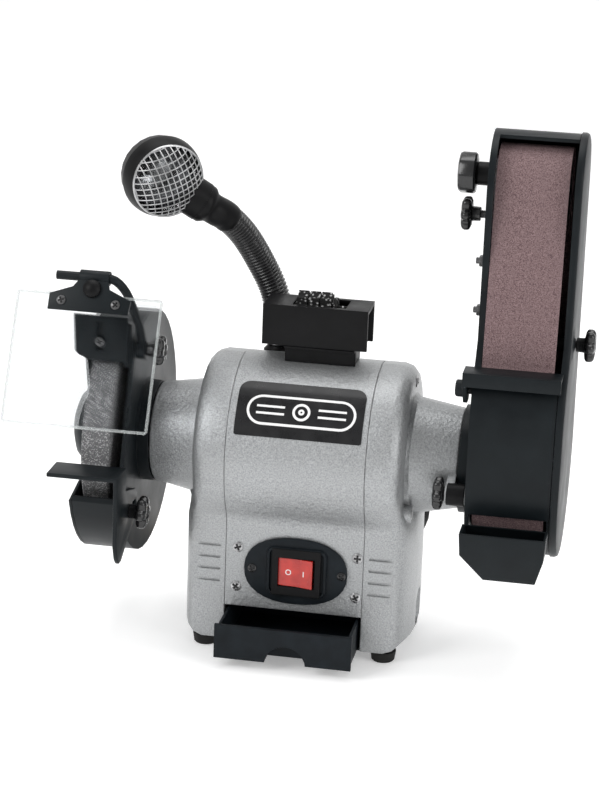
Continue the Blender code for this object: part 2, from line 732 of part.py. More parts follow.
# ---------------------------------------------------------------- dresser
def dresser_parts():
    """The wheel dresser: star cutters in a channel that lifts off its seat on the barrel."""
    x, y, z = DRESSER_X, DRESSER_Y, DRESSER_Z
    wall = DRESSER_WALL
    axis_y, axis_z = CUTTER_AXIS_YZ
    rest = z[0] - GAP
    curve = arc((0, SHAFT_Z), BARREL_R + GAP, 100.5, 80, 5)
    seat = curve + [(11.3, rest - 2.2), (y[1] - 1, rest - 2.2), (y[1] - 1, rest), (10.7, rest), (10.7, 231),
                    (-12, 231), (-12, rest), (y[0] + 1, rest), (y[0] + 1, rest - 2.2), (-12, rest - 2.2)]
    add_object("dresser_seat", along_x(seat, -19, 32), "black_plastic")
    body = add_object("dresser_body", box(x, y, z), "black_plastic", (0, axis_y, axis_z))
    cut(body, box((x[0] + wall, x[1] + 5), (y[0] + wall, y[1] - wall), (z[0] - 5, z[1] - wall)))
    ribs = [box(span, (y[0] + 1, y[1] - 1), (232, z[1] - 1)) for span in ((-20, -16.5), (26, 29.5))]
    join(body, *ribs)
    cut(
        body,
        box((-14.5, 24), (axis_y - 11.8, axis_y + 11.8), (z[1] - 6, z[1] + 5)),
        rod_x(-21, 30.5, 2.6, axis_y, axis_z, 12),
    )
    spindle = 2.2
    stack = [(-20.2, spindle), (-13, spindle), (-13, 5)]
    start = -12.0
    for _ in range(3):
        stack += [(start, 5), (start, CUTTER_R), (start + 7.6, CUTTER_R), (start + 7.6, 5)]
        start += 8.4
    stack += [(start + 1, 5), (start + 1, 8), (start + 3, 8), (start + 3, spindle), (29.7, spindle)]
    rings = []
    for along, radius in stack:
        ring = []
        for i in range(16):
            angle = math.tau * i / 16
            reach = radius - 2.4 if radius == CUTTER_R and i % 2 else radius
            ring.append(Vector((along, axis_y + reach * math.cos(angle), axis_z + reach * math.sin(angle))))
        rings.append(ring)
    add_object("dresser_cutters", loft(rings), "steel", (0, axis_y, axis_z))


# ---------------------------------------------------------------- lamp
def socket_end(centre, outward, radius):
    """Stations of a spherical pocket in a hose end: outward points out of the hose."""
    rim = centre - outward * 1.0
    stations = [(rim, outward, radius), (rim, outward, 6.5)]
    for degrees in (65, 40, 15):
        a = math.radians(degrees)
        stations.append((centre - outward * 6.6 * math.cos(a), outward, 6.6 * math.sin(a)))
    return stations


def ball_start(centre, forward, neck):
    """Stations of the ball that turns in such a pocket, and of the neck behind it."""
    stations = []
    for degrees in (15, 45, 75):
        a = math.radians(degrees)
        stations.append((centre - forward * 6 * math.cos(a), forward, 6 * math.sin(a)))
    stations += [(centre + forward * 1.5, forward, 5.6), (centre + forward * 3, forward, 4.6)]
    stations.append((centre + forward * neck, forward, 4.6))
    return stations


def lamp_parts():
    path = smooth_path(HOSE_ROUTE, 4)
    joint_index = 14
    joint, tip = path[joint_index], path[-1]
    forward = (path[joint_index + 1] - path[joint_index - 1]).normalized()
    tip_forward = (path[-1] - path[-2]).normalized()

    def hose(first, last, radius=HOSE_R):
        return [(path[i], path[min(i + 1, len(path) - 1)] - path[max(i - 1, 0)], radius)
                for i in range(first, last)]

    socket = add_object(
        "lamp_socket",
        turned([(185, 12), (206, 12), (208, 10), (210 - GAP, 9)], at=(-30, 30, 0)),
        "black_plastic",
    )
    cut(socket, rod_x(-60, 20, BARREL_R + GAP, count=72))
    lower = hose(0, joint_index) + socket_end(joint, forward, HOSE_R)
    lower[0] = (path[0], (0, 0, 1), HOSE_R)
    add_object("gooseneck_lower", swept(lower), "black_plastic")
    upper = ball_start(joint, forward, 7.5) + [(joint + forward * 7.5, forward, HOSE_R)]
    ferrule = len(path) - 4
    upper += hose(joint_index + 3, ferrule)
    upper += hose(ferrule, len(path) - 1, HOSE_R + 1.2) + socket_end(tip, tip_forward, HOSE_R + 1.2)
    add_object("gooseneck_upper", swept(upper), "black_plastic", joint)
    lamp_head(tip)


def lamp_head(tip):
    """The lamp's head: half a ball of black hood and half of clear lens, on a collar."""
    centre = Vector(HEAD_CENTRE)
    lens_axis = Vector(LENS_AXIS).normalized()
    inward = (centre - tip).normalized()
    hood = add_object("lamp_hood", dome(lens_axis, centre, HEAD_R, 2.0, -1), "black_plastic", tip)
    collar = ball_start(tip, inward, 9.0)
    collar += [(tip + inward * 9, inward, COLLAR_R), (tip + inward * 22, inward, COLLAR_R)]
    join(hood, swept(collar, 20))
    lens = add_object("lamp_lens", dome(lens_axis, centre, HEAD_R - 0.6, 1.6, 1), "clear_plastic", tip)
    room = COLLAR_R + 0.6
    cut(lens, swept([(tip + inward * 4, inward, room), (tip + inward * 30, inward, room)], 20))
    bulb = [(22.3, 7), (27, 7), (29, 9.5), (36, 11), (43, 9.5), (48, 5), (49, 1.5)]
    add_object("lamp_bulb", turned(bulb, inward, tip, 16), "glass", tip)


def dome(axis, centre, radius, wall, side):
    """Half a hollow ball on the given side of the plane through its centre."""
    steps = (4, 25, 47, 69, 90)
    rings = []
    for shell_radius, angles in ((radius, steps), (radius - wall, steps[::-1])):
        for degrees in angles:
            a = math.radians(degrees)
            height = side * (0.2 + shell_radius * math.cos(a))
            rings.append(circle(shell_radius * math.sin(a), 24, height))
    bm = loft(rings)
    bm.transform(place(axis, centre))
    return bm


# ---------------------------------------------------------------- sander
def arm_outline(inset=0.0):
    """The arm seen along X, as (y, z) points: narrow at the top pulley, wide at the drive pulley."""
    top, low = ARM_TOP_R - inset, ARM_LOW_R - inset
    slope = math.degrees(math.asin((ARM_LOW_R - ARM_TOP_R) / (IDLER_Z - SHAFT_Z)))
    points = arc((0, IDLER_Z), top, 180, slope, 12)
    points += arc((0, SHAFT_Z), low, slope, -180, 22)
    return points + [(-low, 196), (-low + 5, 213), (-top - 8, 232), (-top, 244)]


def belt_tangents():
    """Where the front run of the belt leaves the lower and the upper pulley, as (y, z) points."""
    lean = math.asin((DRIVE_BELT_R - IDLER_BELT_R) / (IDLER_Z - SHAFT_Z))
    out = Vector((-math.cos(lean), math.sin(lean)))
    low = Vector((0, SHAFT_Z)) + out * DRIVE_BELT_R
    return low, Vector((0, IDLER_Z)) + out * IDLER_BELT_R, out


def belt():
    slope = math.degrees(math.asin((DRIVE_BELT_R - IDLER_BELT_R) / (IDLER_Z - SHAFT_Z)))

    def loop(offset):
        points = arc((0, IDLER_Z), IDLER_BELT_R + offset, 180 - slope, slope, 12)
        return points + arc((0, SHAFT_Z), DRIVE_BELT_R + offset, slope, -180 - slope, 28)

    half = BELT_THICKNESS / 2
    rings = []
    for x, offset in ((BELT_X[0], half), (BELT_X[1], half), (BELT_X[1], -half), (BELT_X[0], -half)):
        rings.append([Vector((x, y, z)) for y, z in loop(offset)])
    add_object("belt", loft(rings, closed=True), "abrasive_belt", (0, 0, SHAFT_Z))


def sander_arm():
    """The arm: a deep pan open to the right, with a hub that turns on the body's tube."""
    x0, x1 = ARM_X
    arm = add_object("sander_arm", along_x(arm_outline(), x0, x1), "black_paint", (0, 0, SHAFT_Z))
    floor = x0 + 2.0
    lock_y, lock_z = LOCK_YZ
    lock_r = math.hypot(lock_y, lock_z - SHAFT_Z)
    lock_deg = math.degrees(math.atan2(lock_z - SHAFT_Z, lock_y)) % 360
    centre = (0, SHAFT_Z)
    slot = arc(centre, lock_r + 3.6, lock_deg - 5, lock_deg + 95, 12)
    slot += arc(centre, lock_r - 3.6, lock_deg + 95, lock_deg - 5, 12)
    cut(
        arm,
        along_x(arm_outline(ARM_WALL), floor, x1 + 10),
        box((BELT_X[0] - GAP, x1 + 10), (-90, -11), (216, 400)),
        box((floor + 1, x1 - 2), (-90, -35), (86, 124)),
        along_x(slot, x0 - 5, floor + 5),
        box((x0 - 5, floor + 5), (-8.3, 8.3), (333.5, 361.5)),
        box((x0 - 5, floor + 5), (-3.5, 3.5), (310.5, 340)),
        rod_x(x0 - 5, floor + 5, 4, *WORK_REST_YZ, 16),
        rod_x(x0 - 5, floor + 5, SPIGOT_R + 0.7, count=32),
    )
    hub = sleeve(TUBE_END_X + GAP, floor, SPIGOT_R + 0.7, HUB_R)
    spring_ledge = box((floor - 1, 131), (-6, 6), (SPRING_Z[0] - 4.3, SPRING_Z[0] - GAP))
    post = rod_x(floor - 1, x1, 5.5, 0, COVER_KNOB_Z, 16)
    join(arm, turned_x(hub, count=32, ring=True), spring_ledge, post)
    cut(arm, rod_x(x1 - 14, x1 + 5, 3.3, 0, COVER_KNOB_Z, 16))


def platen():
    """The backing plate behind the belt's front run, bent off a flange that lies on the arm."""
    low, high, out = belt_tangents()
    run = (high - low).normalized()
    centre = low + run * 124
    axes = Matrix(((1, 0, 0), (0, out.x, out.y), (0, run.x, run.y))).transposed().to_4x4()
    axes.translation = Vector((0, centre.x, centre.y))
    front = -BELT_THICKNESS / 2 - 0.5
    x0 = ARM_X[0] + 2.0 + GAP
    web = (BELT_X[0] + GAP, BELT_X[0] + 2.3)
    outline = [(web[0], front), (web[0], front - 10), (x0, front - 10), (x0, front - 24), (web[1], front - 24),
               (web[1], front - 3), (173, front - 3), (173, front)]
    bm = prism(outline, -42, 30, lambda a, b, d: (a, b, d))
    bm.transform(axes)
    add_object("platen", bm, "steel", (0, 0, SHAFT_Z))


def spark_tray():
    """The dust tray under the front of the drum."""
    def ring(z, x, y):
        return [Vector((x[0], y[0], z)), Vector((x[1], y[0], z)), Vector((x[1], y[1], z)), Vector((x[0], y[1], z))]

    rings = [
        ring(84, (138, 174), (-80, -48)), ring(102, (121, 179), (-84, -52)), ring(118.5, (120, 180), (-86, -65)),
        ring(118.5, (122, 178), (-84, -67)), ring(103, (123, 177), (-82, -54)), ring(86, (139.5, 172.5), (-78, -50)),
    ]
    add_object("spark_tray", loft(rings), "black_paint", (0, 0, SHAFT_Z))


def belt_cover():
    """The dished cover on the right of the arm."""
    x0 = ARM_X[1] + GAP
    edge = 2.5
    rings = []
    for x, inset in ((x0, -1.0), (x0 + 3.2, -1.0), (x0 + 5.0, 0.0), (x0 + 5.7, edge)):
        rings.append([Vector((x, y, z)) for y, z in arm_outline(inset)])
    for x, inset in ((x0 + 3.7, edge + 0.6), (x0 + 3.0, 1.6), (x0, 1.4)):
        rings.append([Vector((x, y, z)) for y, z in arm_outline(inset)])
    cover = add_object("belt_cover", dish(rings, 4), "black_paint", (0, 0, SHAFT_Z))
    cut(cover, rod_x(x0, x0 + 20, 4, 0, COVER_KNOB_Z, 16))
    star_knob("cover_knob", (x0 + 5.7 + GAP, 0, COVER_KNOB_Z), (1, 0, 0), 12, 16, 7)


def dish(rings, outside):
    """A pan from rings that start at the rim: the first ones run down its outside, the rest back up inside."""
    bm = bmesh.new()
    rows = [[bm.verts.new(point) for point in ring] for ring in rings]
    count = len(rows[0])
    for number, (first, second) in enumerate(zip(rows, rows[1:] + rows[:1])):
        if number == outside - 1:
            continue
        for i in range(count):
            j = (i + 1) % count
            bm.faces.new((first[i], first[j], second[j], second[i]))
    bm.faces.new(rows[outside - 1])
    bm.faces.new(rows[outside][::-1])
    return bm


def idler_parts():
    """The top pulley on its sliding carriage, the tension spring and the two adjusting knobs."""
    floor = ARM_X[0] + 2.0
    origin = (0, 0, IDLER_Z)
    plate = box((floor + GAP, floor + 2.8), (-14, 14), (SPRING_Z[1] + GAP, 367))
    carriage = add_object("idler_carriage", plate, "steel", origin)
    join(
        carriage,
        turned_x([(110.8, 7.5), (floor + 1.5, 7.5)], 0, TRACKING_Z, 16),
        turned_x([(floor + 1.5, 5), (174.5, 5)], 0, IDLER_Z, 16),
    )
    cut(carriage, rod_x(floor, floor + 3, 3.3, 0, TENSION_Z, 16))
    rim = IDLER_BELT_R - BELT_THICKNESS / 2 - GAP
    pulley = sleeve(BELT_X[0] + 3, BELT_X[1] - 1.5, 5.4, rim)
    add_object("idler_pulley", turned_x(pulley, 0, IDLER_Z, 28, True), "cast_aluminium", origin)
    grip = [(97, 13), (99, 15), (108.8, 15), (110.5, 13.5)]
    add_object("tracking_knob", turned_x(grip, 0, TRACKING_Z, 14), "black_plastic", (0, 0, TRACKING_Z), smooth=30)
    star_knob("tension_knob", (112, 0, TENSION_Z), (-1, 0, 0), 12.4, floor + 2.5 - 112, 4.5)
    turns, wire, radius = 4.5, 0.7, 3.2
    low, high = SPRING_Z[0] + wire, SPRING_Z[1] - wire
    steps = 36
    stations = []
    for i in range(steps + 1):
        angle = math.tau * turns * i / steps
        point = Vector((126.7 + radius * math.cos(angle), radius * math.sin(angle), mix(low, high, i / steps)))
        direction = Vector((-math.sin(angle), math.cos(angle), (high - low) / (math.tau * turns * radius)))
        stations.append((point, direction, wire))
    add_object("tension_spring", swept(stations, 5), "steel", (126.7, 0, low))


def work_rest():
    """The sander's rest: a table with a front lip, on a side ear that tilts on its bolt."""
    y, z = WORK_REST_YZ
    origin = (0, y, z)
    front, back, top = -69.0, -51.0, 228.5
    ear = [(front, top), (back, top), (-43, 222), (-42, 208), (-46, 203), (-54, 203), (-60, 209), (front, 218)]
    table = add_object("work_rest", along_x(ear, 114.5, 117.5), "black_paint", origin)
    join(
        table,
        box((116.5, 182), (front, back), (top - 2.6, top)),
        box((116.5, 182), (front, front + 2.6), (top - 10, top - 1)),
        turned_x([(108.5, 5), (109.5, 6), (113, 6), (115, 6), (115, 3.6), (124.8, 3.6)], y, z, 14),
    )


def arm_lock():
    tip = LOCK_LUG_X[0] - GAP
    star_knob("arm_lock_knob", (tip, *LOCK_YZ), (-1, 0, 0), 12, 124 - tip, 1.5)


# ---------------------------------------------------------------- mains cord
def cord_parts():
    """The lead: its strain relief, the stretch down to the bench, the wound coil and the plug."""
    profile = [(PANEL_Y - 10, 5.6), (PANEL_Y + GAP, 5.6), (PANEL_Y + GAP, 8.5), (PANEL_Y + 4, 8.5),
               (PANEL_Y + 5, 6.5), (PANEL_Y + GLAND_LENGTH + GAP, 5.0)]
    add_object("cord_gland", turned(profile, (0, 1, 0), (GLAND_X, 0, GLAND_Z), 14), "black_plastic")
    tube_curve("cord", smooth_path(CORD_ROUTE, 2), CORD_D, "rubber")
    half = CORD_D * COIL_TURNS_WIDE / 2
    inner, outer = COIL_MEAN_R - half, COIL_MEAN_R + half
    top = CORD_D * COIL_TURNS_HIGH
    edge = CORD_D / 3
    section = [(0, inner + edge), (0, outer - edge), (edge, outer), (top - edge, outer),
               (top, outer - edge), (top, inner + edge), (top - edge, inner), (edge, inner)]
    add_object("cord_coil", turned(section, at=(*COIL_CENTRE, 0), count=28, ring=True), "rubber")
    plug(outer)


def plug(coil_outer):
    """A plug with three flat pins, lying pins up, its grip pointing back along the cord to the coil."""
    turn = math.radians(PLUG_LEAVES_DEG)
    lane = coil_outer - CORD_D / 2
    grip_r = 4.2
    leave = math.sqrt((coil_outer + GAP) ** 2 - (lane - grip_r) ** 2)
    frame = Matrix.Rotation(turn, 4, "Z")
    frame.translation = Vector((*COIL_CENTRE, 0)) + frame.to_3x3() @ Vector((lane, leave, 0))
    body = prism(
        [(-17, 26), (17, 26), (23, 34), (23, 62), (19, 66), (-19, 66), (-23, 62), (-23, 34)],
        0, 19, lambda a, b, d: (a, b, d),
    )
    body.transform(frame)
    obj = add_object("plug", body, "black_plastic")
    pins = [
        box((-13, -7), (40, 44), (18, 36)), box((7, 13), (40, 44), (18, 36)), box((-4, 4), (54, 58), (18, 41)),
    ]
    grip = turned([(0, grip_r), (10, 4.6), (27, 6.5)], (0, 1, 0), (0, 0, CORD_D), 14)
    for bm in (*pins, grip):
        bm.transform(frame)
    join(obj, *pins, grip)


MAKERS = (
    motor_shell, base_plate, feet, drawer, switch_parts, stator, bearings, capacitor, rotor,
    wheel_guard, guard_cover, spark_arrester, tool_rest, shield_parts, dresser_parts, lamp_parts,
    belt, sander_arm, platen, spark_tray, belt_cover, idler_parts, work_rest, arm_lock, cord_parts,
)


def main():
    global ROOT
    for obj in list(bpy.data.objects):
        bpy.data.objects.remove(obj)
    make_materials()
    ROOT = bpy.data.objects.new("bench_grinder", None)
    bpy.context.scene.collection.objects.link(ROOT)
    ROOT.location = (-MIDDLE[0] * MM, -MIDDLE[1] * MM, 0)
    end_cap("end_cap_left", -1)
    end_cap("end_cap_right", 1)
    for make in MAKERS:
        make()


main()
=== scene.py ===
import json
import math

import bmesh
import bpy
from mathutils import Matrix, Vector
from mathutils.bvhtree import BVHTree


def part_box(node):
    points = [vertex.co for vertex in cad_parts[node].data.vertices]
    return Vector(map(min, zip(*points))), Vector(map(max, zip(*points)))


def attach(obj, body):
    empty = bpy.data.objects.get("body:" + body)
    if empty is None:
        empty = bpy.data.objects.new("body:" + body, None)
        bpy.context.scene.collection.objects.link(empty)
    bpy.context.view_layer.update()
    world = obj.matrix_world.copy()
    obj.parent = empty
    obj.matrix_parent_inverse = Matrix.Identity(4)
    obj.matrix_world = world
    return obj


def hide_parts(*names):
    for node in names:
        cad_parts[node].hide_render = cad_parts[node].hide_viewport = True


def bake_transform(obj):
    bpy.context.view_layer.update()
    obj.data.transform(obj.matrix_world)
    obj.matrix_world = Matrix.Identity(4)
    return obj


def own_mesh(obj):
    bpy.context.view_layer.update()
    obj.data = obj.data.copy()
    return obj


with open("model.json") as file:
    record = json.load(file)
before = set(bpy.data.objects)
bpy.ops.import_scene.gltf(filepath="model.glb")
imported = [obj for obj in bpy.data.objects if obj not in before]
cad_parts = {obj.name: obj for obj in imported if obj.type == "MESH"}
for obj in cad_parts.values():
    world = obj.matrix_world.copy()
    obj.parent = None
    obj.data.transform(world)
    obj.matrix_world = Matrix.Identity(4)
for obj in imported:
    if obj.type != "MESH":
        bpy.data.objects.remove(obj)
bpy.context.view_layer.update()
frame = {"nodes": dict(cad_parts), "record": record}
NODES = frame["nodes"]

# Points are in millimetres in the frame's axes, +X to the sander, -Y to the operator, +Z up,
# except where a comment says metres.
SHAFT = (-1.0, 13.05, 145.0)
CORD_D = 7.0
CORD_ROUTE = (
    (63, 83.05, 84), (65, 96.05, 83.2), (69.5, 108.05, 78.8), (73.2, 117.55, 69.5), (72.5, 125.05, 57),
    (68, 132.05, 44.5), (63.5, 140.55, 32), (59.8, 150.05, 20.8), (55.5, 160.05, 12.2), (49, 168.35, 6.6),
    (40.5, 173.85, 4.2),
)
COIL_CENTRE = (9.9, 126.65)
COIL_MEAN_R = 42.0
PLUG_LEAVES_DEG = 120.0
BARREL_R = 64.9
HOSE_ROUTE = (
    (-31, 43.05, 210), (-32.5, 43.05, 230), (-37, 42.55, 250), (-46, 39.05, 270), (-57, 29.05, 292),
    (-68, 18.05, 307), (-77, 9.05, 314.5),
)
HOSE_STEP = 0.52
HEAD_CENTRE = Vector((-112.0, -1.95, 338.0))
HEAD_R = 29.0
LENS_AXIS = Vector((0.57, -0.81, -0.11)).normalized()


def m(point):
    """A point in metres."""
    return Vector(point) / 1000


# ---------------------------------------------------------------- camera, light, floor
CAMERA_AT = (271.4, -1633.15, 692.2)
CAMERA_YAW_PITCH_ROLL = (9.69, 17.13, 2.2)
LENS_MM = 108.9


def camera():
    """The camera that the photo was solved to."""
    yaw, pitch, roll = (math.radians(a) for a in CAMERA_YAW_PITCH_ROLL)
    ahead = Vector((-math.sin(yaw) * math.cos(pitch), math.cos(yaw) * math.cos(pitch), -math.sin(pitch)))
    side = Vector((math.cos(yaw), math.sin(yaw), 0))
    up = side.cross(ahead)
    x = side * math.cos(roll) + up * math.sin(roll)
    y = up * math.cos(roll) - side * math.sin(roll)
    data = bpy.data.cameras.new("camera")
    data.lens = LENS_MM
    data.sensor_width = 36
    obj = bpy.data.objects.new("camera", data)
    bpy.context.scene.collection.objects.link(obj)
    turn = Matrix((x, y, -ahead)).transposed().to_4x4()
    obj.matrix_world = Matrix.Translation(m(CAMERA_AT)) @ turn
    bpy.context.scene.camera = obj


def area_light(name, at, target, size, watts):
    """A soft light; places and sizes are in metres."""
    data = bpy.data.lights.new(name, "AREA")
    data.shape = "RECTANGLE"
    data.size, data.size_y = size
    data.energy = watts
    obj = bpy.data.objects.new(name, data)
    bpy.context.scene.collection.objects.link(obj)
    obj.location = at
    obj.rotation_euler = (Vector(target) - Vector(at)).to_track_quat("-Z", "Y").to_euler()


def studio():
    world = bpy.data.worlds.new("studio")
    world.use_nodes = True
    background = world.node_tree.nodes["Background"]
    background.inputs["Color"].default_value = (1, 1, 1, 1)
    background.inputs["Strength"].default_value = 0.5
    bpy.context.scene.world = world
    bpy.context.scene.view_settings.view_transform = "Standard"
    area_light("key_left", (-1.3, -1.2, 1.2), (0, 0, 0.18), (1.0, 1.0), 18)
    area_light("fill_right", (1.5, -0.9, 0.8), (0.1, 0, 0.2), (0.7, 1.2), 9)
    area_light("top", (0.0, 0.3, 1.7), (0, 0, 0.1), (1.6, 0.9), 14)


def floor(mat):
    """White paper, in metres: flat under the machine, then swept up far behind it."""
    front, back, bend, top, half = -2.6, 2.3, 0.9, 3.6, 4.0
    bm = bmesh.new()
    profile = [(front, 0.0)]
    profile += [(back + bend * math.sin(a), bend - bend * math.cos(a)) for a in
                (math.radians(9 * i) for i in range(11))]
    profile.append((back + bend, top))
    rows = [[bm.verts.new((x, y, z)) for y, z in profile] for x in (-half, half)]
    for i in range(len(profile) - 1):
        bm.faces.new((rows[0][i], rows[1][i], rows[1][i + 1], rows[0][i + 1]))
    obj = finished("floor", bm, mat)


# ---------------------------------------------------------------- mesh helpers
def finished(name, bm, mat, smooth=40):
    """A new object from a mesh in metres."""
    bmesh.ops.recalc_face_normals(bm, faces=bm.faces)
    mesh = bpy.data.meshes.new(name)
    bm.to_mesh(mesh)
    bm.free()
    obj = bpy.data.objects.new(name, mesh)
    bpy.context.scene.collection.objects.link(obj)
    mesh.materials.append(mat)
    mesh.shade_smooth()
    mesh.set_sharp_from_angle(angle=math.radians(smooth))
    return obj


def piece(name, bm, mat, body, smooth=40):
    """A new object that moves with a body."""
    obj = finished(name, bm, mat, smooth)
    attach(obj, body)
    return obj


def frame_on(direction, at):
    """A matrix with its Z along direction, at a point in millimetres, and scaled from them."""
    z = Vector(direction).normalized()
    x = Vector((0, 0, 1)).cross(z)
    if x.length < 1e-3:
        x = Vector((1, 0, 0)).cross(z)
    x.normalize()
    turn = Matrix((x, z.cross(x), z)).transposed().to_4x4()
    return Matrix.Translation(m(at)) @ turn @ Matrix.Scale(0.001, 4)


def bridge(bm, rows, closed=False):
    """Quads round each pair of neighbouring loops, and from the last loop to the first if closed."""
    count = len(rows[0])
    for a, b in zip(rows, rows[1:] + (rows[:1] if closed else [])):
        for i in range(count):
            j = (i + 1) % count
            bm.faces.new((a[i], a[j], b[j], b[i]))


def ring(bm, radius, height, count, transform):
    """A loop of vertices round the transform's Z."""
    return [bm.verts.new(transform @ Vector((radius * math.cos(math.tau * i / count),
                                             radius * math.sin(math.tau * i / count), height)))
            for i in range(count)]


def lathe(bm, profile, count, transform):
    """A turned shape from (radius, height) pairs; a radius of 0 closes it."""
    rows = []
    for radius, height in profile:
        if radius == 0:
            rows.append([bm.verts.new(transform @ Vector((0, 0, height)))])
        else:
            rows.append(ring(bm, radius, height, count, transform))
    for a, b in zip(rows, rows[1:]):
        for i in range(count):
            j = (i + 1) % count
            if len(a) == 1:
                bm.faces.new((a[0], b[j], b[i]))
            elif len(b) == 1:
                bm.faces.new((a[i], a[j], b[0]))
            else:
                bm.faces.new((a[i], a[j], b[j], b[i]))


def lathe_ring(bm, profile, count, transform):
    """A turned ring: the profile is a closed loop of (radius, height) pairs."""
    bridge(bm, [ring(bm, r, h, count, transform) for r, h in profile], True)


def tube(bm, points, radius, sides=8, closed=False):
    """A round tube along points in millimetres, its ends closed."""
    points = [m(p) for p in points]
    count = len(points)
    rows = []
    up = None
    for i, p in enumerate(points):
        before = points[i - 1] if i or closed else p
        after = points[(i + 1) % count] if i + 1 < count or closed else p
        along = (after - before).normalized()
        if up is None:
            up = along.orthogonal()
        up = (up - along * up.dot(along)).normalized()
        side = along.cross(up)
        r = (radius(i) if callable(radius) else radius) / 1000
        turns = [math.tau * k / sides for k in range(sides)]
        rows.append([bm.verts.new(p + (up * math.cos(a) + side * math.sin(a)) * r) for a in turns])
    bridge(bm, rows, closed)
    if not closed:
        bm.faces.new(rows[0][::-1])
        bm.faces.new(rows[-1])


def smooth_path(route, steps):
    """A curve through every point of the route."""
    points = [Vector(p) for p in route]
    points = [points[0] * 2 - points[1], *points, points[-1] * 2 - points[-2]]
    path = []
    for p0, p1, p2, p3 in zip(points, points[1:], points[2:], points[3:]):
        for i in range(steps):
            t = i / steps
            path.append(0.5 * (2 * p1 + (p2 - p0) * t + (2 * p0 - 5 * p1 + 4 * p2 - p3) * t * t
                               + (3 * p1 - p0 - 3 * p2 + p3) * t ** 3))
    path.append(points[-2])
    return path


def evenly(path, step):
    """The path again with its points a fixed step apart."""
    out = [path[0]]
    left = step
    for a, b in zip(path, path[1:]):
        length = (b - a).length
        while left <= length:
            out.append(a + (b - a) * (left / length))
            left += step
        left -= length
    out.append(path[-1])
    return out


# ---------------------------------------------------------------- materials
class Finish:
    """A node material in the object's own space: a Principled shader and the textures that feed it."""

    def __init__(self, name, rough, metal=0.0, **sockets):
        self.mat = bpy.data.materials.new(name)
        self.mat.use_nodes = True
        self.tree = self.mat.node_tree
        self.shader = self.tree.nodes["Principled BSDF"]
        self.coords = self.tree.nodes.new("ShaderNodeTexCoord").outputs["Object"]
        self.shader.inputs["Metallic"].default_value = metal
        self.shader.inputs["Roughness"].default_value = rough
        for socket, value in sockets.items():
            self.shader.inputs[socket.replace("_", " ")].default_value = value

    def node(self, kind, **settings):
        new = self.tree.nodes.new(kind)
        for key, value in settings.items():
            if isinstance(value, bpy.types.NodeSocket):
                self.tree.links.new(value, new.inputs[key.replace("_", " ")])
            elif key.replace("_", " ") in new.inputs:
                new.inputs[key.replace("_", " ")].default_value = value
            else:
                setattr(new, key, value)
        return new

    def stretched(self, scale):
        return self.node("ShaderNodeMapping", Vector=self.coords, Scale=scale).outputs[0]

    def noise(self, size, detail=3.0, roughness=0.55, vector=None):
        """Noise whose lumps are size millimetres across."""
        return self.node("ShaderNodeTexNoise", Vector=vector or self.coords, Scale=1000 / size,
                         Detail=detail, Roughness=roughness).outputs["Fac"]

    def cells(self, size, feature="F1"):
        return self.node("ShaderNodeTexVoronoi", Vector=self.coords, Scale=1000 / size,
                         feature=feature).outputs["Distance"]

    def spread(self, value, low, high, to_low=0.0, to_high=1.0):
        limits = {"From_Min": low, "From_Max": high, "To_Min": to_low, "To_Max": to_high}
        return self.node("ShaderNodeMapRange", Value=value, **limits).outputs["Result"]

    def blend(self, share, first, second):
        """One colour or the other by a share from 0 to 1; either may be a socket."""
        new = self.node("ShaderNodeMix", data_type="RGBA")
        self.tree.links.new(share, new.inputs[0])
        for socket, colour in ((new.inputs[6], first), (new.inputs[7], second)):
            if isinstance(colour, bpy.types.NodeSocket):
                self.tree.links.new(colour, socket)
            else:
                socket.default_value = (*colour, 1)
        return new.outputs[2]

    def math(self, operation, first, second):
        new = self.node("ShaderNodeMath", operation=operation)
        for socket, value in zip(new.inputs, (first, second)):
            if isinstance(value, bpy.types.NodeSocket):
                self.tree.links.new(value, socket)
            else:
                socket.default_value = value
        return new.outputs[0]

    def colour(self, socket):
        self.tree.links.new(socket, self.shader.inputs["Base Color"])

    def rough(self, socket):
        self.tree.links.new(socket, self.shader.inputs["Roughness"])

    def bump(self, height, depth, strength=1.0, edge=0.0):
        """Relief of depth millimetres, over edges softened to a radius of edge millimetres."""
        new = self.node("ShaderNodeBump", Height=height, Distance=depth / 1000, Strength=strength)
        if edge:
            soft = self.node("ShaderNodeBevel", samples=4, Radius=edge / 1000)
            self.tree.links.new(soft.outputs[0], new.inputs["Normal"])
        self.tree.links.new(new.outputs[0], self.shader.inputs["Normal"])


def hammered_silver():
    f = Finish("silver_paint", 0.36, 0.55, Coat_Weight=0.25, Coat_Roughness=0.22)
    cells = f.cells(2.3, "SMOOTH_F1")
    fine = f.noise(1.1, 4.0, 0.7)
    broad = f.noise(38, 3.0)
    grain = f.blend(f.spread(fine, 0.3, 0.7), (0.22, 0.23, 0.235), (0.51, 0.52, 0.53))
    f.colour(f.blend(f.spread(broad, 0.3, 0.75, 0.0, 0.35), grain, (0.33, 0.335, 0.335)))
    f.rough(f.spread(fine, 0.25, 0.75, 0.28, 0.5))
    f.bump(f.math("ADD", cells, f.math("MULTIPLY", fine, 0.9)), 0.4, 0.8, 1.2)
    return f.mat


def satin_black():
    f = Finish("black_paint", 0.36, 0.0, Specular_IOR_Level=0.18)
    fine = f.noise(0.9, 3.0)
    broad = f.noise(26, 4.0)
    f.colour(f.blend(f.spread(broad, 0.3, 0.8), (0.0045, 0.0065, 0.008), (0.009, 0.0125, 0.0145)))
    f.rough(f.spread(broad, 0.25, 0.8, 0.34, 0.5))
    f.bump(fine, 0.06, 0.5, 0.8)
    return f.mat


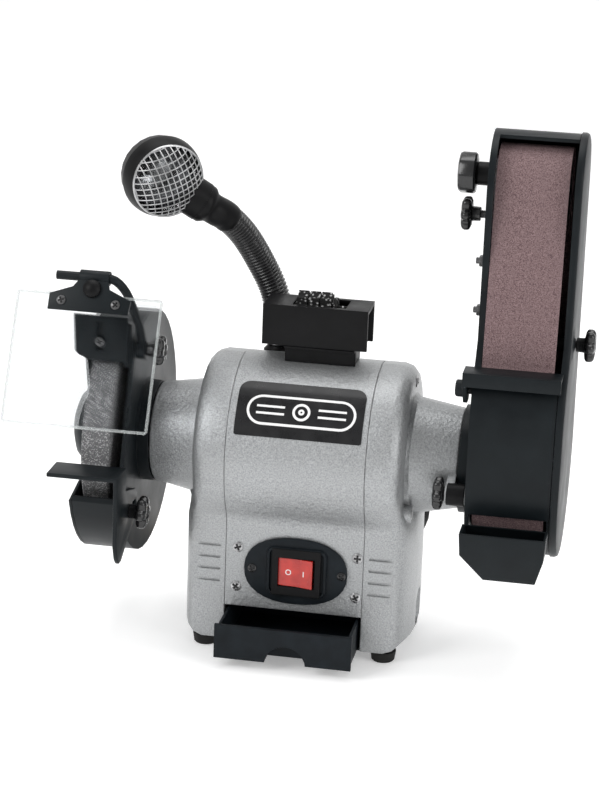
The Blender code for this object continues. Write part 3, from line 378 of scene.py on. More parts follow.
def black_moulding(name, tint):
    f = Finish(name, 0.45, 0.0, Specular_IOR_Level=0.14)
    fine = f.noise(0.35, 2.0)
    broad = f.noise(15, 3.0)
    f.colour(f.blend(f.spread(broad, 0.3, 0.8), [c * 0.65 for c in tint], [c * 1.35 for c in tint]))
    f.rough(f.spread(broad, 0.25, 0.8, 0.36, 0.52))
    f.bump(fine, 0.035, 0.5, 0.7)
    return f.mat


def soft_rubber():
    f = Finish("rubber", 0.68, 0.0, Specular_IOR_Level=0.2)
    fine = f.noise(0.6, 3.0)
    broad = f.noise(12, 3.0)
    f.colour(f.blend(f.spread(broad, 0.3, 0.8), (0.009, 0.009, 0.009), (0.022, 0.022, 0.021)))
    f.rough(f.spread(fine, 0.3, 0.7, 0.58, 0.78))
    f.bump(fine, 0.05, 0.5, 0.5)
    return f.mat


def turned_steel(name, light, rough):
    f = Finish(name, rough, 1.0)
    rings = f.noise(0.5, 2.0, 0.5, f.stretched((1.0, 0.06, 0.06)))
    broad = f.noise(9, 3.0)
    f.colour(f.blend(f.spread(broad, 0.3, 0.8), (light, light, light * 1.02), [light * 0.72] * 3))
    f.rough(f.spread(rings, 0.3, 0.7, rough - 0.1, rough + 0.12))
    f.bump(rings, 0.03, 0.4, 0.4)
    return f.mat


def cutter_steel():
    f = Finish("cutter_steel", 0.5, 0.7)
    teeth = f.cells(2.6)
    f.colour(f.blend(f.spread(teeth, 0.25, 0.4), (0.3, 0.3, 0.3), (0.012, 0.012, 0.012)))
    f.rough(f.spread(teeth, 0.2, 0.5, 0.38, 0.7))
    f.bump(f.spread(teeth, 0.2, 0.5), 0.5, 0.8)
    return f.mat


def laminations():
    f = Finish("laminated_steel", 0.5, 0.9)
    sheets = f.node("ShaderNodeTexWave", Vector=f.coords, Scale=320.0, bands_direction="X").outputs["Fac"]
    f.colour(f.blend(sheets, (0.12, 0.12, 0.13), (0.3, 0.3, 0.31)))
    f.rough(f.spread(f.noise(3), 0.3, 0.7, 0.4, 0.6))
    f.bump(sheets, 0.08, 0.6)
    return f.mat


def copper_wire():
    f = Finish("copper", 0.35, 0.9, Coat_Weight=0.5)
    strands = f.node("ShaderNodeTexWave", Vector=f.coords, Scale=260.0, Distortion=1.5,
                     bands_direction="Z").outputs["Fac"]
    f.colour(f.blend(strands, (0.3, 0.1, 0.035), (0.75, 0.32, 0.14)))
    f.rough(f.spread(f.noise(2), 0.3, 0.7, 0.28, 0.45))
    f.bump(strands, 0.15, 0.7)
    return f.mat


def wheel_grit():
    f = Finish("abrasive_wheel", 0.9, 0.0, Specular_IOR_Level=0.35)
    grains = f.cells(0.95)
    fine = f.noise(0.45, 3.0, 0.7)
    kinds = f.node("ShaderNodeTexVoronoi", Vector=f.coords, Scale=1500.0).outputs["Color"]
    kind = f.node("ShaderNodeSeparateColor", Color=kinds).outputs[0]
    base = f.blend(f.spread(fine, 0.35, 0.65), (0.08, 0.08, 0.083), (0.2, 0.2, 0.205))
    f.colour(f.blend(f.spread(kind, 0.74, 0.86), base, (0.42, 0.42, 0.42)))
    f.rough(f.spread(fine, 0.3, 0.7, 0.78, 0.98))
    f.bump(f.math("ADD", grains, fine), 0.35, 0.9, 0.8)
    return f.mat


def belt_grit():
    f = Finish("abrasive_belt", 0.85, 0.0, Specular_IOR_Level=0.25)
    fine = f.noise(0.8, 2.0, 0.7)
    streaks = f.noise(2.4, 3.0, 0.6, f.stretched((1.0, 0.05, 0.05)))
    base = f.blend(f.spread(fine, 0.36, 0.64), (0.085, 0.05, 0.053), (0.27, 0.185, 0.188))
    f.colour(f.blend(f.spread(streaks, 0.4, 0.8, 0.0, 0.55), base, (0.19, 0.13, 0.133)))
    f.rough(f.spread(fine, 0.3, 0.7, 0.72, 0.95))
    f.bump(fine, 0.16, 0.8)
    return f.mat


def cast_aluminium():
    f = Finish("cast_aluminium", 0.42, 1.0)
    rings = f.noise(0.6, 2.0, 0.5, f.stretched((1.0, 0.05, 0.05)))
    cast = f.noise(1.6, 4.0)
    f.colour(f.blend(f.spread(cast, 0.3, 0.7), (0.42, 0.42, 0.43), (0.58, 0.58, 0.58)))
    f.rough(f.spread(rings, 0.3, 0.7, 0.3, 0.5))
    f.bump(rings, 0.04, 0.4, 0.5)
    return f.mat


def clear_sheet(name, tint, alpha, scuffs, clearness=1.0):
    f = Finish(name, 0.05, 0.0, Transmission_Weight=clearness, IOR=1.12, Alpha=alpha)
    haze = f.noise(34, 4.0)
    scratch = f.noise(0.5, 2.0, 0.5, f.stretched((0.03, 1.0, 0.4)))
    f.colour(f.blend(f.spread(haze, 0.3, 0.8), tint, [c * 0.95 for c in tint]))
    f.rough(f.spread(scratch, 0.6, 0.8, 0.0, scuffs))
    f.bump(scratch, 0.002, 0.1)
    return f.mat


def red_rocker():
    f = Finish("red_plastic", 0.22, 0.0, Coat_Weight=0.3, Coat_Roughness=0.08, Subsurface_Weight=0.15,
               Subsurface_Scale=0.001)
    depth = f.noise(7, 2.0)
    f.colour(f.blend(f.spread(depth, 0.3, 0.7), (0.4, 0.012, 0.008), (0.54, 0.024, 0.014)))
    f.rough(f.spread(f.noise(4), 0.3, 0.7, 0.16, 0.28))
    f.bump(f.noise(1.2), 0.02, 0.3, 0.6)
    return f.mat


def white_moulding():
    f = Finish("white_plastic", 0.4)
    broad = f.noise(8, 3.0)
    f.colour(f.blend(f.spread(broad, 0.3, 0.8), (0.72, 0.72, 0.7), (0.6, 0.6, 0.58)))
    f.rough(f.spread(broad, 0.3, 0.7, 0.34, 0.48))
    f.bump(f.noise(0.5), 0.02, 0.3, 0.5)
    return f.mat


def glossy_black():
    f = Finish("knob_black", 0.2, 0.0, Coat_Weight=0.2, Coat_Roughness=0.1)
    broad = f.noise(6, 3.0)
    f.colour(f.blend(f.spread(broad, 0.3, 0.8), (0.006, 0.006, 0.0065), (0.014, 0.014, 0.015)))
    f.rough(f.spread(broad, 0.25, 0.8, 0.17, 0.3))
    f.bump(f.noise(0.8), 0.02, 0.3, 0.4)
    return f.mat


def brass_pin():
    f = Finish("brass", 0.28, 1.0)
    broad = f.noise(5, 3.0)
    f.colour(f.blend(f.spread(broad, 0.3, 0.8), (0.62, 0.42, 0.16), (0.48, 0.31, 0.11)))
    f.rough(f.spread(broad, 0.3, 0.7, 0.22, 0.36))
    f.bump(f.noise(0.7), 0.01, 0.2, 0.3)
    return f.mat


# Black for the label plate; the same black also paints the shade in the screw recesses.
def plate_black():
    f = Finish("label_black_and_painted_shade", 0.3, 0.0, Specular_IOR_Level=0.35)
    broad = f.noise(10, 3.0)
    f.colour(f.blend(f.spread(broad, 0.3, 0.8), (0.006, 0.006, 0.007), (0.013, 0.013, 0.014)))
    f.rough(f.spread(broad, 0.3, 0.7, 0.24, 0.36))
    f.bump(f.noise(0.8), 0.01, 0.2)
    return f.mat


def printed_white():
    f = Finish("label_white", 0.4)
    grain = f.noise(0.6, 3.0)
    f.colour(f.blend(f.spread(grain, 0.3, 0.8), (0.85, 0.85, 0.84), (0.75, 0.75, 0.75)))
    f.rough(f.spread(grain, 0.3, 0.7, 0.34, 0.46))
    f.bump(grain, 0.01, 0.2)
    return f.mat


def floor_paper():
    f = Finish("floor", 0.85, 0.0, Specular_IOR_Level=0.2, Emission_Color=(1, 1, 1, 1), Emission_Strength=0.3)
    fibre = f.noise(2.5, 4.0)
    f.colour(f.blend(f.spread(fibre, 0.3, 0.7), (0.93, 0.93, 0.93), (0.95, 0.95, 0.95)))
    f.rough(f.spread(fibre, 0.3, 0.7, 0.8, 0.9))
    f.bump(fibre, 0.05, 0.15)
    return f.mat


MATERIALS = {
    "silver_paint": hammered_silver(),
    "black_paint": satin_black(),
    "black_plastic": black_moulding("black_plastic", (0.0055, 0.0055, 0.006)),
    "rubber": soft_rubber(),
    "steel": turned_steel("steel", 0.62, 0.3),
    "laminated_steel": laminations(),
    "copper": copper_wire(),
    "abrasive_wheel": wheel_grit(),
    "abrasive_belt": belt_grit(),
    "cast_aluminium": cast_aluminium(),
    "clear_plastic": clear_sheet("clear_plastic", (0.72, 0.76, 0.79), 0.32, 0.06),
    "glass": clear_sheet("glass", (0.95, 0.95, 0.93), 0.3, 0.06),
    "red_plastic": red_rocker(),
    "white_plastic": white_moulding(),
}
SLATE = black_moulding("slate_plastic", (0.0085, 0.0115, 0.0145))
ZINC = turned_steel("zinc", 0.5, 0.3)
DARK_STEEL = turned_steel("dark_steel", 0.16, 0.36)
CHROME = turned_steel("reflector", 0.4, 0.16)
CUTTER = cutter_steel()
CLEAR_EDGE = clear_sheet("clear_edge", (0.7, 0.73, 0.72), 0.38, 0.2, 0.3)
PLATE_AND_SHADE_BLACK = plate_black()
LABEL_WHITE = printed_white()
GLOSS_BLACK = glossy_black()
BRASS = brass_pin()

# Nodes that look different from the rest of their slot, and nodes whose edges are rounded.
OWN_FINISH = {"dresser_cutters": CUTTER, "switch_plate": SLATE, "drawer": SLATE}
EDGE_RADII_MM = {"dresser_body": 0.9, "dresser_seat": 0.7, "tool_rest": 0.7, "work_rest": 0.7,
                 "spark_tray": 0.6, "spark_arrester": 0.6, "switch_plate": 0.6, "base_plate": 0.5,
                 "shield_bracket": 0.4, "plug": 1.2}
WELD_M = 0.00001
SAME_FACE_DEG, ROUNDED_OVER_DEG, SHARP_OVER_DEG = 0.5, 40, 33


def dress_nodes():
    """Every CAD node gets its finish, smooth shading across its facets, and rounded edges if it is boxy."""
    for part in frame["record"]["subparts"]:
        obj = NODES[part["node"]]
        obj.data.materials.clear()
        obj.data.materials.append(OWN_FINISH.get(part["node"], MATERIALS[part["material_slot"]]))
        weld = obj.modifiers.new("weld", "WELD")
        weld.merge_threshold = WELD_M
        if part["node"] in EDGE_RADII_MM:
            flats = obj.modifiers.new("flats", "DECIMATE")
            flats.decimate_type = "DISSOLVE"
            flats.angle_limit = math.radians(SAME_FACE_DEG)
            bevel = obj.modifiers.new("rounded_edges", "BEVEL")
            bevel.width = EDGE_RADII_MM[part["node"]] / 1000
            bevel.segments = 3
            bevel.limit_method = "ANGLE"
            bevel.angle_limit = math.radians(ROUNDED_OVER_DEG)
        obj.data.shade_smooth()
        smooth = obj.modifiers.new("smooth", "NODES")
        smooth.node_group = smooth_by_angle()


def smooth_by_angle():
    """Nodes for a modifier that keeps the steeper edges sharp, after the weld and the rounding."""
    if "smooth_by_angle" in bpy.data.node_groups:
        return bpy.data.node_groups["smooth_by_angle"]
    group = bpy.data.node_groups.new("smooth_by_angle", "GeometryNodeTree")
    group.interface.new_socket("Geometry", in_out="INPUT", socket_type="NodeSocketGeometry")
    group.interface.new_socket("Geometry", in_out="OUTPUT", socket_type="NodeSocketGeometry")
    source = group.nodes.new("NodeGroupInput")
    result = group.nodes.new("NodeGroupOutput")
    angle = group.nodes.new("GeometryNodeInputMeshEdgeAngle")
    flat = group.nodes.new("FunctionNodeCompare")
    flat.data_type = "FLOAT"
    flat.operation = "LESS_EQUAL"
    flat.inputs["B"].default_value = math.radians(SHARP_OVER_DEG)
    faces = group.nodes.new("GeometryNodeSetShadeSmooth")
    faces.domain = "FACE"
    edges = group.nodes.new("GeometryNodeSetShadeSmooth")
    edges.domain = "EDGE"
    links = group.links
    links.new(angle.outputs["Unsigned Angle"], flat.inputs["A"])
    links.new(source.outputs[0], faces.inputs["Geometry"])
    links.new(faces.outputs["Geometry"], edges.inputs["Geometry"])
    links.new(flat.outputs["Result"], edges.inputs["Shade Smooth"])
    links.new(edges.outputs["Geometry"], result.inputs[0])
    return group


# ---------------------------------------------------------------- mains cord
def ease(share):
    """A share from 0 to 1, smoothed at both ends."""
    share = min(max(share, 0.0), 1.0)
    return share * share * (3 - 2 * share)


def cord_path():
    """The lead down to the bench, three lanes of coil on it, three above, and the run to the plug."""
    lead = smooth_path(CORD_ROUTE, 2)
    centre = Vector(COIL_CENTRE)
    arm = lead[-1].xy - centre
    start = math.atan2(arm.y, arm.x)
    leaves = math.radians(PLUG_LEAVES_DEG)
    turns = 6 + (leaves - start) / math.tau
    lanes = (1, 0, -1, -1, 0, 1, 1, 1)
    layers = (0, 0, 0, 1, 1, 1, 1, 1)
    path = list(lead)
    count = 112
    for i in range(1, count + 1):
        turn = turns * i / count
        lane = int(turn)
        share = ease((turn - lane) * 2 - 1)
        radius = COIL_MEAN_R + CORD_D * (lanes[lane] + (lanes[lane + 1] - lanes[lane]) * share)
        height = CORD_D * (0.5 + layers[lane] + (layers[lane + 1] - layers[lane]) * share)
        settled = ease(turn / 0.19)
        radius += (arm.length - radius) * (1 - settled)
        height += (lead[-1].z - height) * (1 - settled)
        angle = start + math.tau * turn
        spot = centre + Vector((math.cos(angle), math.sin(angle))) * radius
        path.append(Vector((*spot, height)))
    along = Vector((-math.sin(leaves), math.cos(leaves), 0))
    last = path[-1]
    for run in (6, 11, 16, 21, 26, 31, 36):
        path.append(last + along * run - Vector((0, 0, 3.5 * ease((run - 2) / 25))))
    return path


def cord():
    """The mains lead and its coil as one curve."""
    path = cord_path()
    data = bpy.data.curves.new("mains_cord", "CURVE")
    data.dimensions = "3D"
    data.bevel_depth = CORD_D / 2000
    data.bevel_resolution = 3
    data.use_fill_caps = True
    spline = data.splines.new("POLY")
    spline.points.add(len(path) - 1)
    for point, place in zip(spline.points, path):
        point.co = (*m(place), 1)
    data.materials.append(MATERIALS["rubber"])
    obj = bpy.data.objects.new("mains_cord", data)
    bpy.context.scene.collection.objects.link(obj)
    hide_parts("cord", "cord_coil")
    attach(obj, "housing")


# ---------------------------------------------------------------- marks laid on a surface
def surface(node):
    mesh = NODES[node].data
    return BVHTree.FromPolygons([v.co for v in mesh.vertices], [p.vertices for p in mesh.polygons])


def band(bm, outer, inner, place, lift):
    """A thin band between two loops of (u, v) points."""
    rows = []
    for loop, height in ((outer, -0.2), (outer, lift), (inner, lift), (inner, -0.2)):
        rows.append([bm.verts.new(place(u, v, height)) for u, v in loop])
    bridge(bm, rows, True)


def patch(bm, rows, columns, place, lift):
    """A thin sheet from rows of (v, lowest u, highest u)."""
    shares = [k / columns for k in range(columns + 1)]
    top, under = (
        [[bm.verts.new(place(a + (b - a) * share, v, height)) for share in shares] for v, a, b in rows]
        for height in (lift, -0.2)
    )
    for i in range(len(rows) - 1):
        for k in range(columns):
            bm.faces.new((top[i][k], top[i][k + 1], top[i + 1][k + 1], top[i + 1][k]))
            bm.faces.new((under[i + 1][k], under[i + 1][k + 1], under[i][k + 1], under[i][k]))
        bm.faces.new((top[i][0], top[i + 1][0], under[i + 1][0], under[i][0]))
        bm.faces.new((top[i + 1][-1], top[i][-1], under[i][-1], under[i + 1][-1]))
    for k in range(columns):
        bm.faces.new((top[0][k + 1], top[0][k], under[0][k], under[0][k + 1]))
        bm.faces.new((top[-1][k], top[-1][k + 1], under[-1][k + 1], under[-1][k]))


def stadium(u, v, half, radius, steps):
    """A pill outline about (u, v), or a circle if half is the radius."""
    loop = []
    for side, start in ((1, -90), (-1, 90)):
        for i in range(steps + 1):
            a = math.radians(start + 180 * i / steps)
            loop.append((u + side * (half - radius) + radius * math.cos(a), v + radius * math.sin(a)))
    return loop


def label():
    """A black plate wrapped on the front of the barrel, with a plain pill outline and a wheel mark."""
    shell = surface("motor_shell")

    def place(u, v, lift):
        angle = math.radians(20) + v / BARREL_R
        out = Vector((0, -math.cos(angle), math.sin(angle)))
        start = m((u - 0.5, SHAFT[1], SHAFT[2])) + out * 0.1
        hit = shell.ray_cast(start, -out)[0]
        return hit + out * (lift / 1000)

    tall, half, corner = 41.9, 45.4, 8.0
    rows = []
    for v in [0, 0.6, 1.4] + [1.4 + 3.25 * i for i in range(1, 11)] + [tall - corner * s for s in
                                                                     (0.75, 0.5, 0.3, 0.15, 0.05, 0)]:
        inset = 1.4 - math.sqrt(max(1.4 ** 2 - (1.4 - v) ** 2, 0)) if v < 1.4 else 0
        above = v - (tall - corner)
        if above > 0:
            inset = corner - math.sqrt(max(corner ** 2 - above ** 2, 0))
        rows.append((v, -half + inset, half - inset))
    bm = bmesh.new()
    patch(bm, rows, 24, place, 0.45)
    piece("label_plate", bm, PLATE_AND_SHADE_BLACK, "housing")
    bm = bmesh.new()
    band(bm, stadium(1, 19.6, 39, 11.2, 16), stadium(1, 19.6, 37.2, 9.4, 16), place, 0.65)
    band(bm, stadium(1, 19.6, 6.4, 6.4, 16), stadium(1, 19.6, 4.6, 4.6, 16), place, 0.65)
    band(bm, stadium(1, 19.6, 2.2, 2.2, 10), stadium(1, 19.6, 0.7, 0.7, 10), place, 0.65)
    for low, high in ((-31, -11), (13, 33)):
        for v in (16.2, 21.4):
            patch(bm, [(v, low, high), (v + 1.6, low, high)], 6, place, 0.65)
    piece("label_print", bm, LABEL_WHITE, "housing")


def rocker_marks():
    """A ring for off and a bar for on."""
    face = surface("rocker")

    def place(u, v, lift):
        hit, normal = face.ray_cast(m((u, -90, v)), Vector((0, 1, 0)))[:2]
        return hit - normal * (lift / 1000) * (1 if normal.y > 0 else -1)

    bm = bmesh.new()
    band(bm, stadium(-4.3, 65, 2.1, 2.1, 10), stadium(-4.3, 65, 1.5, 1.5, 10), place, 0.12)
    patch(bm, [(63, 6.6, 7.3), (67, 6.6, 7.3)], 1, place, 0.12)
    piece("rocker_marks", bm, LABEL_WHITE, "rocker")


def switch_rim():
    """The raised frame moulded round the switch."""
    def place(u, v, lift):
        return m((1.5 + u, -38.95 - lift, 65 + v))

    def loop(x, z, r):
        points = []
        for sx, sz, start in ((1, 1, 0), (-1, 1, 90), (-1, -1, 180), (1, -1, 270)):
            for i in range(7):
                a = math.radians(start + 15 * i)
                points.append((sx * (x - r) + r * math.cos(a), sz * (z - r) + r * math.sin(a)))
        return points

    bm = bmesh.new()
    section = ((0, -0.1), (0.4, 1.4), (1.2, 2.1), (2.2, 2.1), (2.8, 1.4), (3.0, -0.1))
    rows = []
    for inset, lift in section:
        rows.append([bm.verts.new(place(u, v, lift)) for u, v in loop(22 - inset, 18.6 - inset, 6 - inset)])
    bridge(bm, rows, True)
    piece("switch_rim", bm, SLATE, "housing")


# ---------------------------------------------------------------- screws and knobs
def screw_head(bm, transform, radius, height):
    """A domed head with a cross recess."""
    count = 48
    shares = (0.1, 0.2, 0.3, 0.4, 0.5, 0.6, 0.7, 0.82, 0.93, 1.0)

    def lift(x, y, share):
        cross = min(abs(x), abs(y)) < 0.17 * radius and max(abs(x), abs(y)) < 0.66 * radius
        dome = height * (1 - 0.5 * share ** 2.4) if share < 1 else height * 0.25
        return dome - (0.8 * height if cross else 0)

    rows = []
    for share in shares:
        row = []
        for i in range(count):
            a = math.tau * i / count
            x, y = share * radius * math.cos(a), share * radius * math.sin(a)
            row.append(bm.verts.new(transform @ Vector((x, y, lift(x, y, share)))))
        rows.append(row)
    rows.append(ring(bm, radius, -0.3, count, transform))
    middle = bm.verts.new(transform @ Vector((0, 0, lift(0, 0, 0))))
    base = bm.verts.new(transform @ Vector((0, 0, -0.3)))
    for i in range(count):
        j = (i + 1) % count
        bm.faces.new((middle, rows[0][i], rows[0][j]))
        bm.faces.new((base, rows[-1][j], rows[-1][i]))
    for a, b in zip(rows, rows[1:]):
        for i in range(count):
            j = (i + 1) % count
            bm.faces.new((a[i], b[i], b[j], a[j]))


def screws(name, mat, body, heads):
    """Cross-head screws, with a thin dark cross in each recess as painted shade."""
    bm = bmesh.new()
    painted_recess_shade = bmesh.new()
    for number, (at, normal, radius, height) in enumerate(heads):
        transform = frame_on(normal, at) @ Matrix.Rotation(math.radians(20 + 34 * number), 4, "Z")
        screw_head(bm, transform, radius, height)
        a, b, deep = 0.17 * radius, 0.64 * radius, 0.3 * height
        outline = [(a, a), (b, a), (b, -a), (a, -a), (a, -b), (-a, -b), (-a, -a), (-b, -a), (-b, a), (-a, a),
                   (-a, b), (a, b)]
        # The dark cross sits inside the recess as painted shade for the shadow there.
        rows = [[painted_recess_shade.verts.new(transform @ Vector((x, y, z))) for x, y in outline] for z in (deep, 0.12)]
        painted_recess_shade.faces.new(rows[0][::-1])
        painted_recess_shade.faces.new(rows[1])
        bridge(painted_recess_shade, rows)
    piece(name, bm, mat, body, 28)
    piece(name + "_painted_shade", painted_recess_shade, PLATE_AND_SHADE_BLACK, body, 28)


def all_screws():
    front = (0, -1, 0)
    screws("panel_screws", ZINC, "housing", [
        ((x, -36.3, z), front, 3.9, 1.5) for x, z in ((-42.2, 79), (-43, 49), (44.6, 79), (44.4, 49))])
    screws("switch_screws", GLOSS_BLACK, "housing", [
        ((x, -38.85, 65), front, 3.3, 1.3) for x in (-31, 34)])
    screws("bracket_screws", DARK_STEEL, "shield", [
        ((-166.6, -65.15, 258.9), (0, -0.899, 0.438), 3.3, 1.5),
        ((-127.9, -65.45, 258.4), (0, -0.899, 0.438), 3.3, 1.5)])
    screws("arrester_screw", DARK_STEEL, "housing", [((-146, -36.9, 223), front, 3.4, 1.6)])
    screws("cap_screws", ZINC, "housing", [
        ((74.1, 17, 198), (1, 0, 0), 4.2, 1.2), ((79.6, -22, 111), (1, 0, 0), 4.2, 1.0),
        ((-76, 17, 198), (-1, 0, 0), 4.2, 1.2)])
    bm = bmesh.new()
    lathe(bm, [(0, 0), (6.3, 0), (6.3, 8.6), (5.9, 9.2), (5.0, 9.2), (5.0, 8.6), (0, 8.6)], 28,
          frame_on((1, 0, 0), (71, -22, 111)))
    piece("cap_boss", bm, MATERIALS["silver_paint"], "housing")
    bm = bmesh.new()
    for z in (291, 255.5):
        transform = frame_on((-1, 0, 0), (119.5, SHAFT[1], z))
        lathe(bm, [(0, -0.2), (4.4, -0.2), (4.4, 0.9), (0, 0.9)], 24, transform)
        lathe(bm, [(0, 0.8), (4.3, 0.8), (4.3, 5.0), (3.7, 5.6), (0, 5.6)], 6, transform)
        lathe(bm, [(0, 5.5), (2.3, 5.5), (2.3, 7.6), (1.8, 8.0), (0, 8.0)], 16, transform)
    piece("arm_nuts", bm, DARK_STEEL, "arm", 30)


def star_knob(node, body, side, neck=6.0):
    """A lobed hand knob in the place of its plain CAD solid, on a threaded stud."""
    head, lobes = 7.6, 6
    low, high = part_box(node)
    middle = (low + high) * 500
    radius = (high.z - low.z) * 500
    end = (high.x if side > 0 else low.x) * 1000
    back = (low.x if side > 0 else high.x) * 1000
    transform = frame_on((side, 0, 0), (end - side * head, middle.y, middle.z))
    count = 72
    section = ((0.0, 0.55), (0.4, 0.8), (1.4, 0.96), (2.4, 1.0), (0.62 * head, 1.0), (0.82 * head, 0.94),
               (0.95 * head, 0.8), (head, 0.6), (0.97 * head, 0.42), (0.88 * head, 0.38))
    bm = bmesh.new()
    rows = []
    for height, scale in section:
        row = []
        for i in range(count):
            a = math.tau * i / count
            depth = 0.27 * (0.5 - 0.5 * math.cos(lobes * a)) ** 1.5 if scale > 0.5 else 0.0
            reach = radius * (scale - depth * min(1.0, scale * 1.1))
            row.append(bm.verts.new(transform @ Vector((reach * math.cos(a), reach * math.sin(a), height))))
        rows.append(row)
    bridge(bm, rows)
    bm.faces.new(rows[0][::-1])
    bm.faces.new(rows[-1])
    collar = [(0, -neck), (4.4, -neck), (5.0, -neck + 0.5), (5.2, -0.6), (5.6, 0.1), (0, 0.1)]
    lathe(bm, collar, 28, transform)
    knob = piece(node + "_star", bm, GLOSS_BLACK, body, 35)
    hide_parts(node)
    length = abs(end - back) - head - neck
    if length > 1.5:
        stud = bmesh.new()
        root = (end - side * (head + neck - 0.5), middle.y, middle.z)
        lathe(stud, threads(2.9, length + 0.6), 20, frame_on((-side, 0, 0), root))
        piece(node + "_stud", stud, DARK_STEEL, body, 60)


def threads(radius, length, pitch=1.0):
    """A thread's outline as (radius, height) pairs, drawn as rings."""
    profile = [(0, 0), (radius - 0.3, 0)]
    height = 0.2
    while height + pitch < length:
        profile += [(radius, height + 0.25), (radius - 0.35, height + 0.75)]
        height += pitch
    return profile + [(radius - 0.3, length), (0, length)]


def tracking_knob():
    """The large eight-sided knob that steers the belt."""
    low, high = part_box("tracking_knob")
    middle = (low + high) * 500
    transform = frame_on((-1, 0, 0), (high.x * 1000, middle.y, middle.z))
    bm = bmesh.new()
    sides, count, across = 8, 64, 14.7
    section = [(0.2, 0.62), (1.0, 0.93), (2.2, 1.0), (11.0, 1.0), (12.6, 0.94), (13.3, 0.82), (13.3, 0.5),
               (12.7, 0.44)]
    rows = []
    for height, scale in section:
        row = []
        for i in range(count):
            a = math.tau * i / count
            folded = (a % (math.tau / sides)) - math.pi / sides
            flat = math.cos(math.pi / sides) / math.cos(folded)
            reach = across * scale * (0.35 * 0.96 + 0.65 * min(flat * 1.02, 1.0))
            row.append(bm.verts.new(transform @ Vector((reach * math.cos(a), reach * math.sin(a), height))))
        rows.append(row)
    bridge(bm, rows)
    bm.faces.new(rows[0][::-1])
    bm.faces.new(rows[-1])
    knob = piece("tracking_knob_head", bm, GLOSS_BLACK, "tracking_knob", 30)
    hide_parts("tracking_knob")


def sleeves():
    """Black collars over the tracking boss and over the lug of the arm lock."""
    for name, body, x, y, z, inner, outer, length in (
        ("tracking_collar", "carriage", 109.4, 13.05, 353, 7.1, 8.2, 9.6),
        ("lock_collar", "housing", 105.6, -36.95, 134, 6.9, 7.9, 12.8),
    ):
        bm = bmesh.new()
        section = [(inner, 0), (outer - 0.4, 0), (outer, 0.4), (outer, length - 0.4), (outer - 0.4, length),
                   (inner, length)]
        lathe_ring(bm, section, 32, frame_on((1, 0, 0), (x, y, z)))
        piece(name, bm, MATERIALS["black_plastic"], body, 30)


def tension_coil():
    """The belt's tension spring as a fixed coil of wire; the real spring shortens as the idler carriage comes
    down on it.
    """
    low, high = (p * 1000 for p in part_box("tension_spring"))
    middle = (low + high) / 2
    turns, wire, travel = 7, 0.65, 10
    radius = (high.x - low.x) / 2 - wire
    points = []
    for i in range(turns * 20 + 1):
        a = math.tau * i / 20
        z = low.z + wire + (high.z - low.z - 2 * wire) * i / (turns * 20)
        points.append(Vector((middle.x + radius * math.cos(a), middle.y + radius * math.sin(a), z)))
    bm = bmesh.new()
    tube(bm, points, wire, 8)
    coil = piece("tension_coil", bm, MATERIALS["steel"], "arm", 60)
    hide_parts("tension_spring")
    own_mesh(coil)


# ---------------------------------------------------------------- lamp
def lamp_neck():
    """The ribbed hose, fixed along the line of the two lamp joints, and the boot that joins it to the head.
    """
    path = evenly(smooth_path(HOSE_ROUTE, 12), HOSE_STEP)
    body = path[:-22]

    def ribbed(i):
        return 9.2 + 1.3 * math.sin(math.pi * i / 5) ** 2

    bm = bmesh.new()
    tube(bm, body, ribbed, 24)
    hose = finished("lamp_hose", bm, GLOSS_BLACK, 80)
    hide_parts("gooseneck_lower", "gooseneck_upper")
    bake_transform(hose)
    tip = path[-1]
    inward = (HEAD_CENTRE - tip).normalized()
    route = [path[-36], path[-22], path[-8], tip + inward * 5, tip + inward * 11]
    smooth = smooth_path(route, 5)
    radii = [10.4, 10.8] + [10.9] * 11 + [11.1, 12.4, 13.6, 14.0, 14.0, 14.0, 14.0, 13.6]
    bm = bmesh.new()
    tube(bm, smooth, lambda i: radii[i], 28)
    boot = finished("lamp_boot", bm, MATERIALS["black_plastic"], 60)
    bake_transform(boot)
    return tip, inward


def lamp_head(tip, inward):
    """The reflector behind the bulb, the wire guard over the lens and the rim it meets on the hood."""
    bowl = []
    for radius, steps in ((25.3, range(0, 81, 10)), (26.2, range(80, -1, -10))):
        for degrees in steps:
            a = math.radians(degrees + (8 if degrees else 0))
            bowl.append((radius * math.sin(a), -radius * math.cos(a)))
    transform = frame_on(LENS_AXIS, HEAD_CENTRE)
    bm = bmesh.new()
    lathe(bm, bowl, 30, transform)
    piece("lamp_reflector", bm, CHROME, "lamp_head", 5)

    turn = transform.to_3x3() * 1000
    across = (turn @ Vector((math.cos(0.35), math.sin(0.35), 0))).normalized()
    up = LENS_AXIS.cross(across)
    reach, wire_r, spacing, opening = 28.7, 0.42, 4.15, 25.5
    boot_r, boot_end = 15.1, 34
    bm = bmesh.new()
    for first, second in ((across, up), (up, across)):
        for k in range(-6, 7):
            v = k * spacing
            half = math.sqrt(opening ** 2 - v ** 2)
            wire = []
            for i in range(29):
                u = half * (2 * i / 28 - 1)
                rise = math.sqrt(reach ** 2 - u * u - v * v)
                point = HEAD_CENTRE + first * u + second * v + LENS_AXIS * rise
                offset = point - tip
                along = offset.dot(inward)
                if (offset - inward * along).length < boot_r and along < boot_end:
                    if len(wire) > 1:
                        tube(bm, wire, wire_r, 6)
                    wire = []
                else:
                    wire.append(point)
            if len(wire) > 1:
                tube(bm, wire, wire_r, 6)
    piece("lamp_wire_guard", bm, ZINC, "lamp_head", 60)
    bm = bmesh.new()
    zone = [(r * math.cos(math.radians(a)), r * math.sin(math.radians(a))) for r, angles in
            ((HEAD_R, range(-1, 27, 3)), (HEAD_R - 0.9, range(26, -2, -3))) for a in angles]
    lathe_ring(bm, zone, 64, transform)
    piece("lamp_hood_front", bm, MATERIALS["black_plastic"], "lamp_head", 50)
    bm = bmesh.new()
    lathe_ring(bm, [(25.2, 12.2), (26.3, 12.2), (26.6, 12.8), (26.3, 13.6), (25.6, 13.8), (25.2, 13.2)], 64,
               transform)
    piece("lamp_rim", bm, ZINC, "lamp_head", 30)


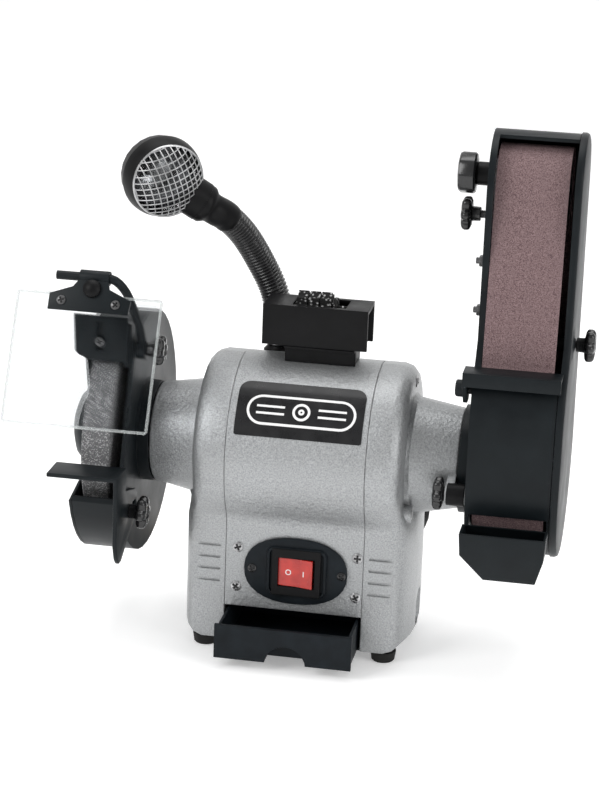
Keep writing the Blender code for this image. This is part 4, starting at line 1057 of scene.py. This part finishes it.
def shield_edges():
    """The polished edges of the eye shield, which catch the light."""
    lean = Matrix.Translation((0, -52.95, 273.5)) @ Matrix.Rotation(math.radians(-26), 4, "X")
    corners = [lean @ Vector((x, -1.3, z)) for x, z in ((-198.6, -13.3), (-198.6, -105.7), (-96.4, -105.7),
                                                        (-96.4, -13.3))]
    points = []
    for a, b in zip(corners, corners[1:] + corners[:1]):
        points += [a + (b - a) * s for s in (0.01, 0.25, 0.5, 0.75, 0.99)]
    bm = bmesh.new()
    tube(bm, points, 1.06, 8, closed=True)
    piece("shield_edges", bm, CLEAR_EDGE, "shield", 60)


def plug_pins():
    """Brass over the three flat pins of the plug."""
    turn = math.radians(PLUG_LEAVES_DEG)
    lane = COIL_MEAN_R + CORD_D
    leave = math.sqrt((lane + 3.8) ** 2 - (lane - 4.2) ** 2)
    frame_at = Matrix.Rotation(turn, 4, "Z")
    frame_at.translation = Vector((*COIL_CENTRE, 0)) + frame_at.to_3x3() @ Vector((lane, leave, 0))
    bm = bmesh.new()
    for x, y, z in (((-13, -7), (40, 44), (20.5, 36)), ((7, 13), (40, 44), (20.5, 36)),
                    ((-4, 4), (54, 58), (20.5, 41))):
        grown = [(a - 0.15, b + 0.15) for a, b in (x, y, z)]
        corners = [[bm.verts.new(m(frame_at @ Vector((px, py, pz)))) for px, py in
                    ((grown[0][0], grown[1][0]), (grown[0][1], grown[1][0]), (grown[0][1], grown[1][1]),
                     (grown[0][0], grown[1][1]))] for pz in grown[2]]
        bm.faces.new(corners[0][::-1])
        bm.faces.new(corners[1])
        bridge(bm, corners)
    piece("plug_pin_brass", bm, BRASS, "housing")


def main():
    camera()
    cord()
    dress_nodes()
    studio()
    floor(floor_paper())
    label()
    rocker_marks()
    switch_rim()
    all_screws()
    for node, body, side in (("tool_rest_knob", "rest_knob", 1),
                             ("shield_clamp_knob", "shield_clamp_knob", 1),
                             ("cover_knob", "cover_knob", 1), ("tension_knob", "tension_knob", -1)):
        star_knob(node, body, side)
    star_knob("arm_lock_knob", "arm_lock_knob", -1, 1.2)
    tracking_knob()
    sleeves()
    tension_coil()
    lamp_head(*lamp_neck())
    shield_edges()
    plug_pins()


main()
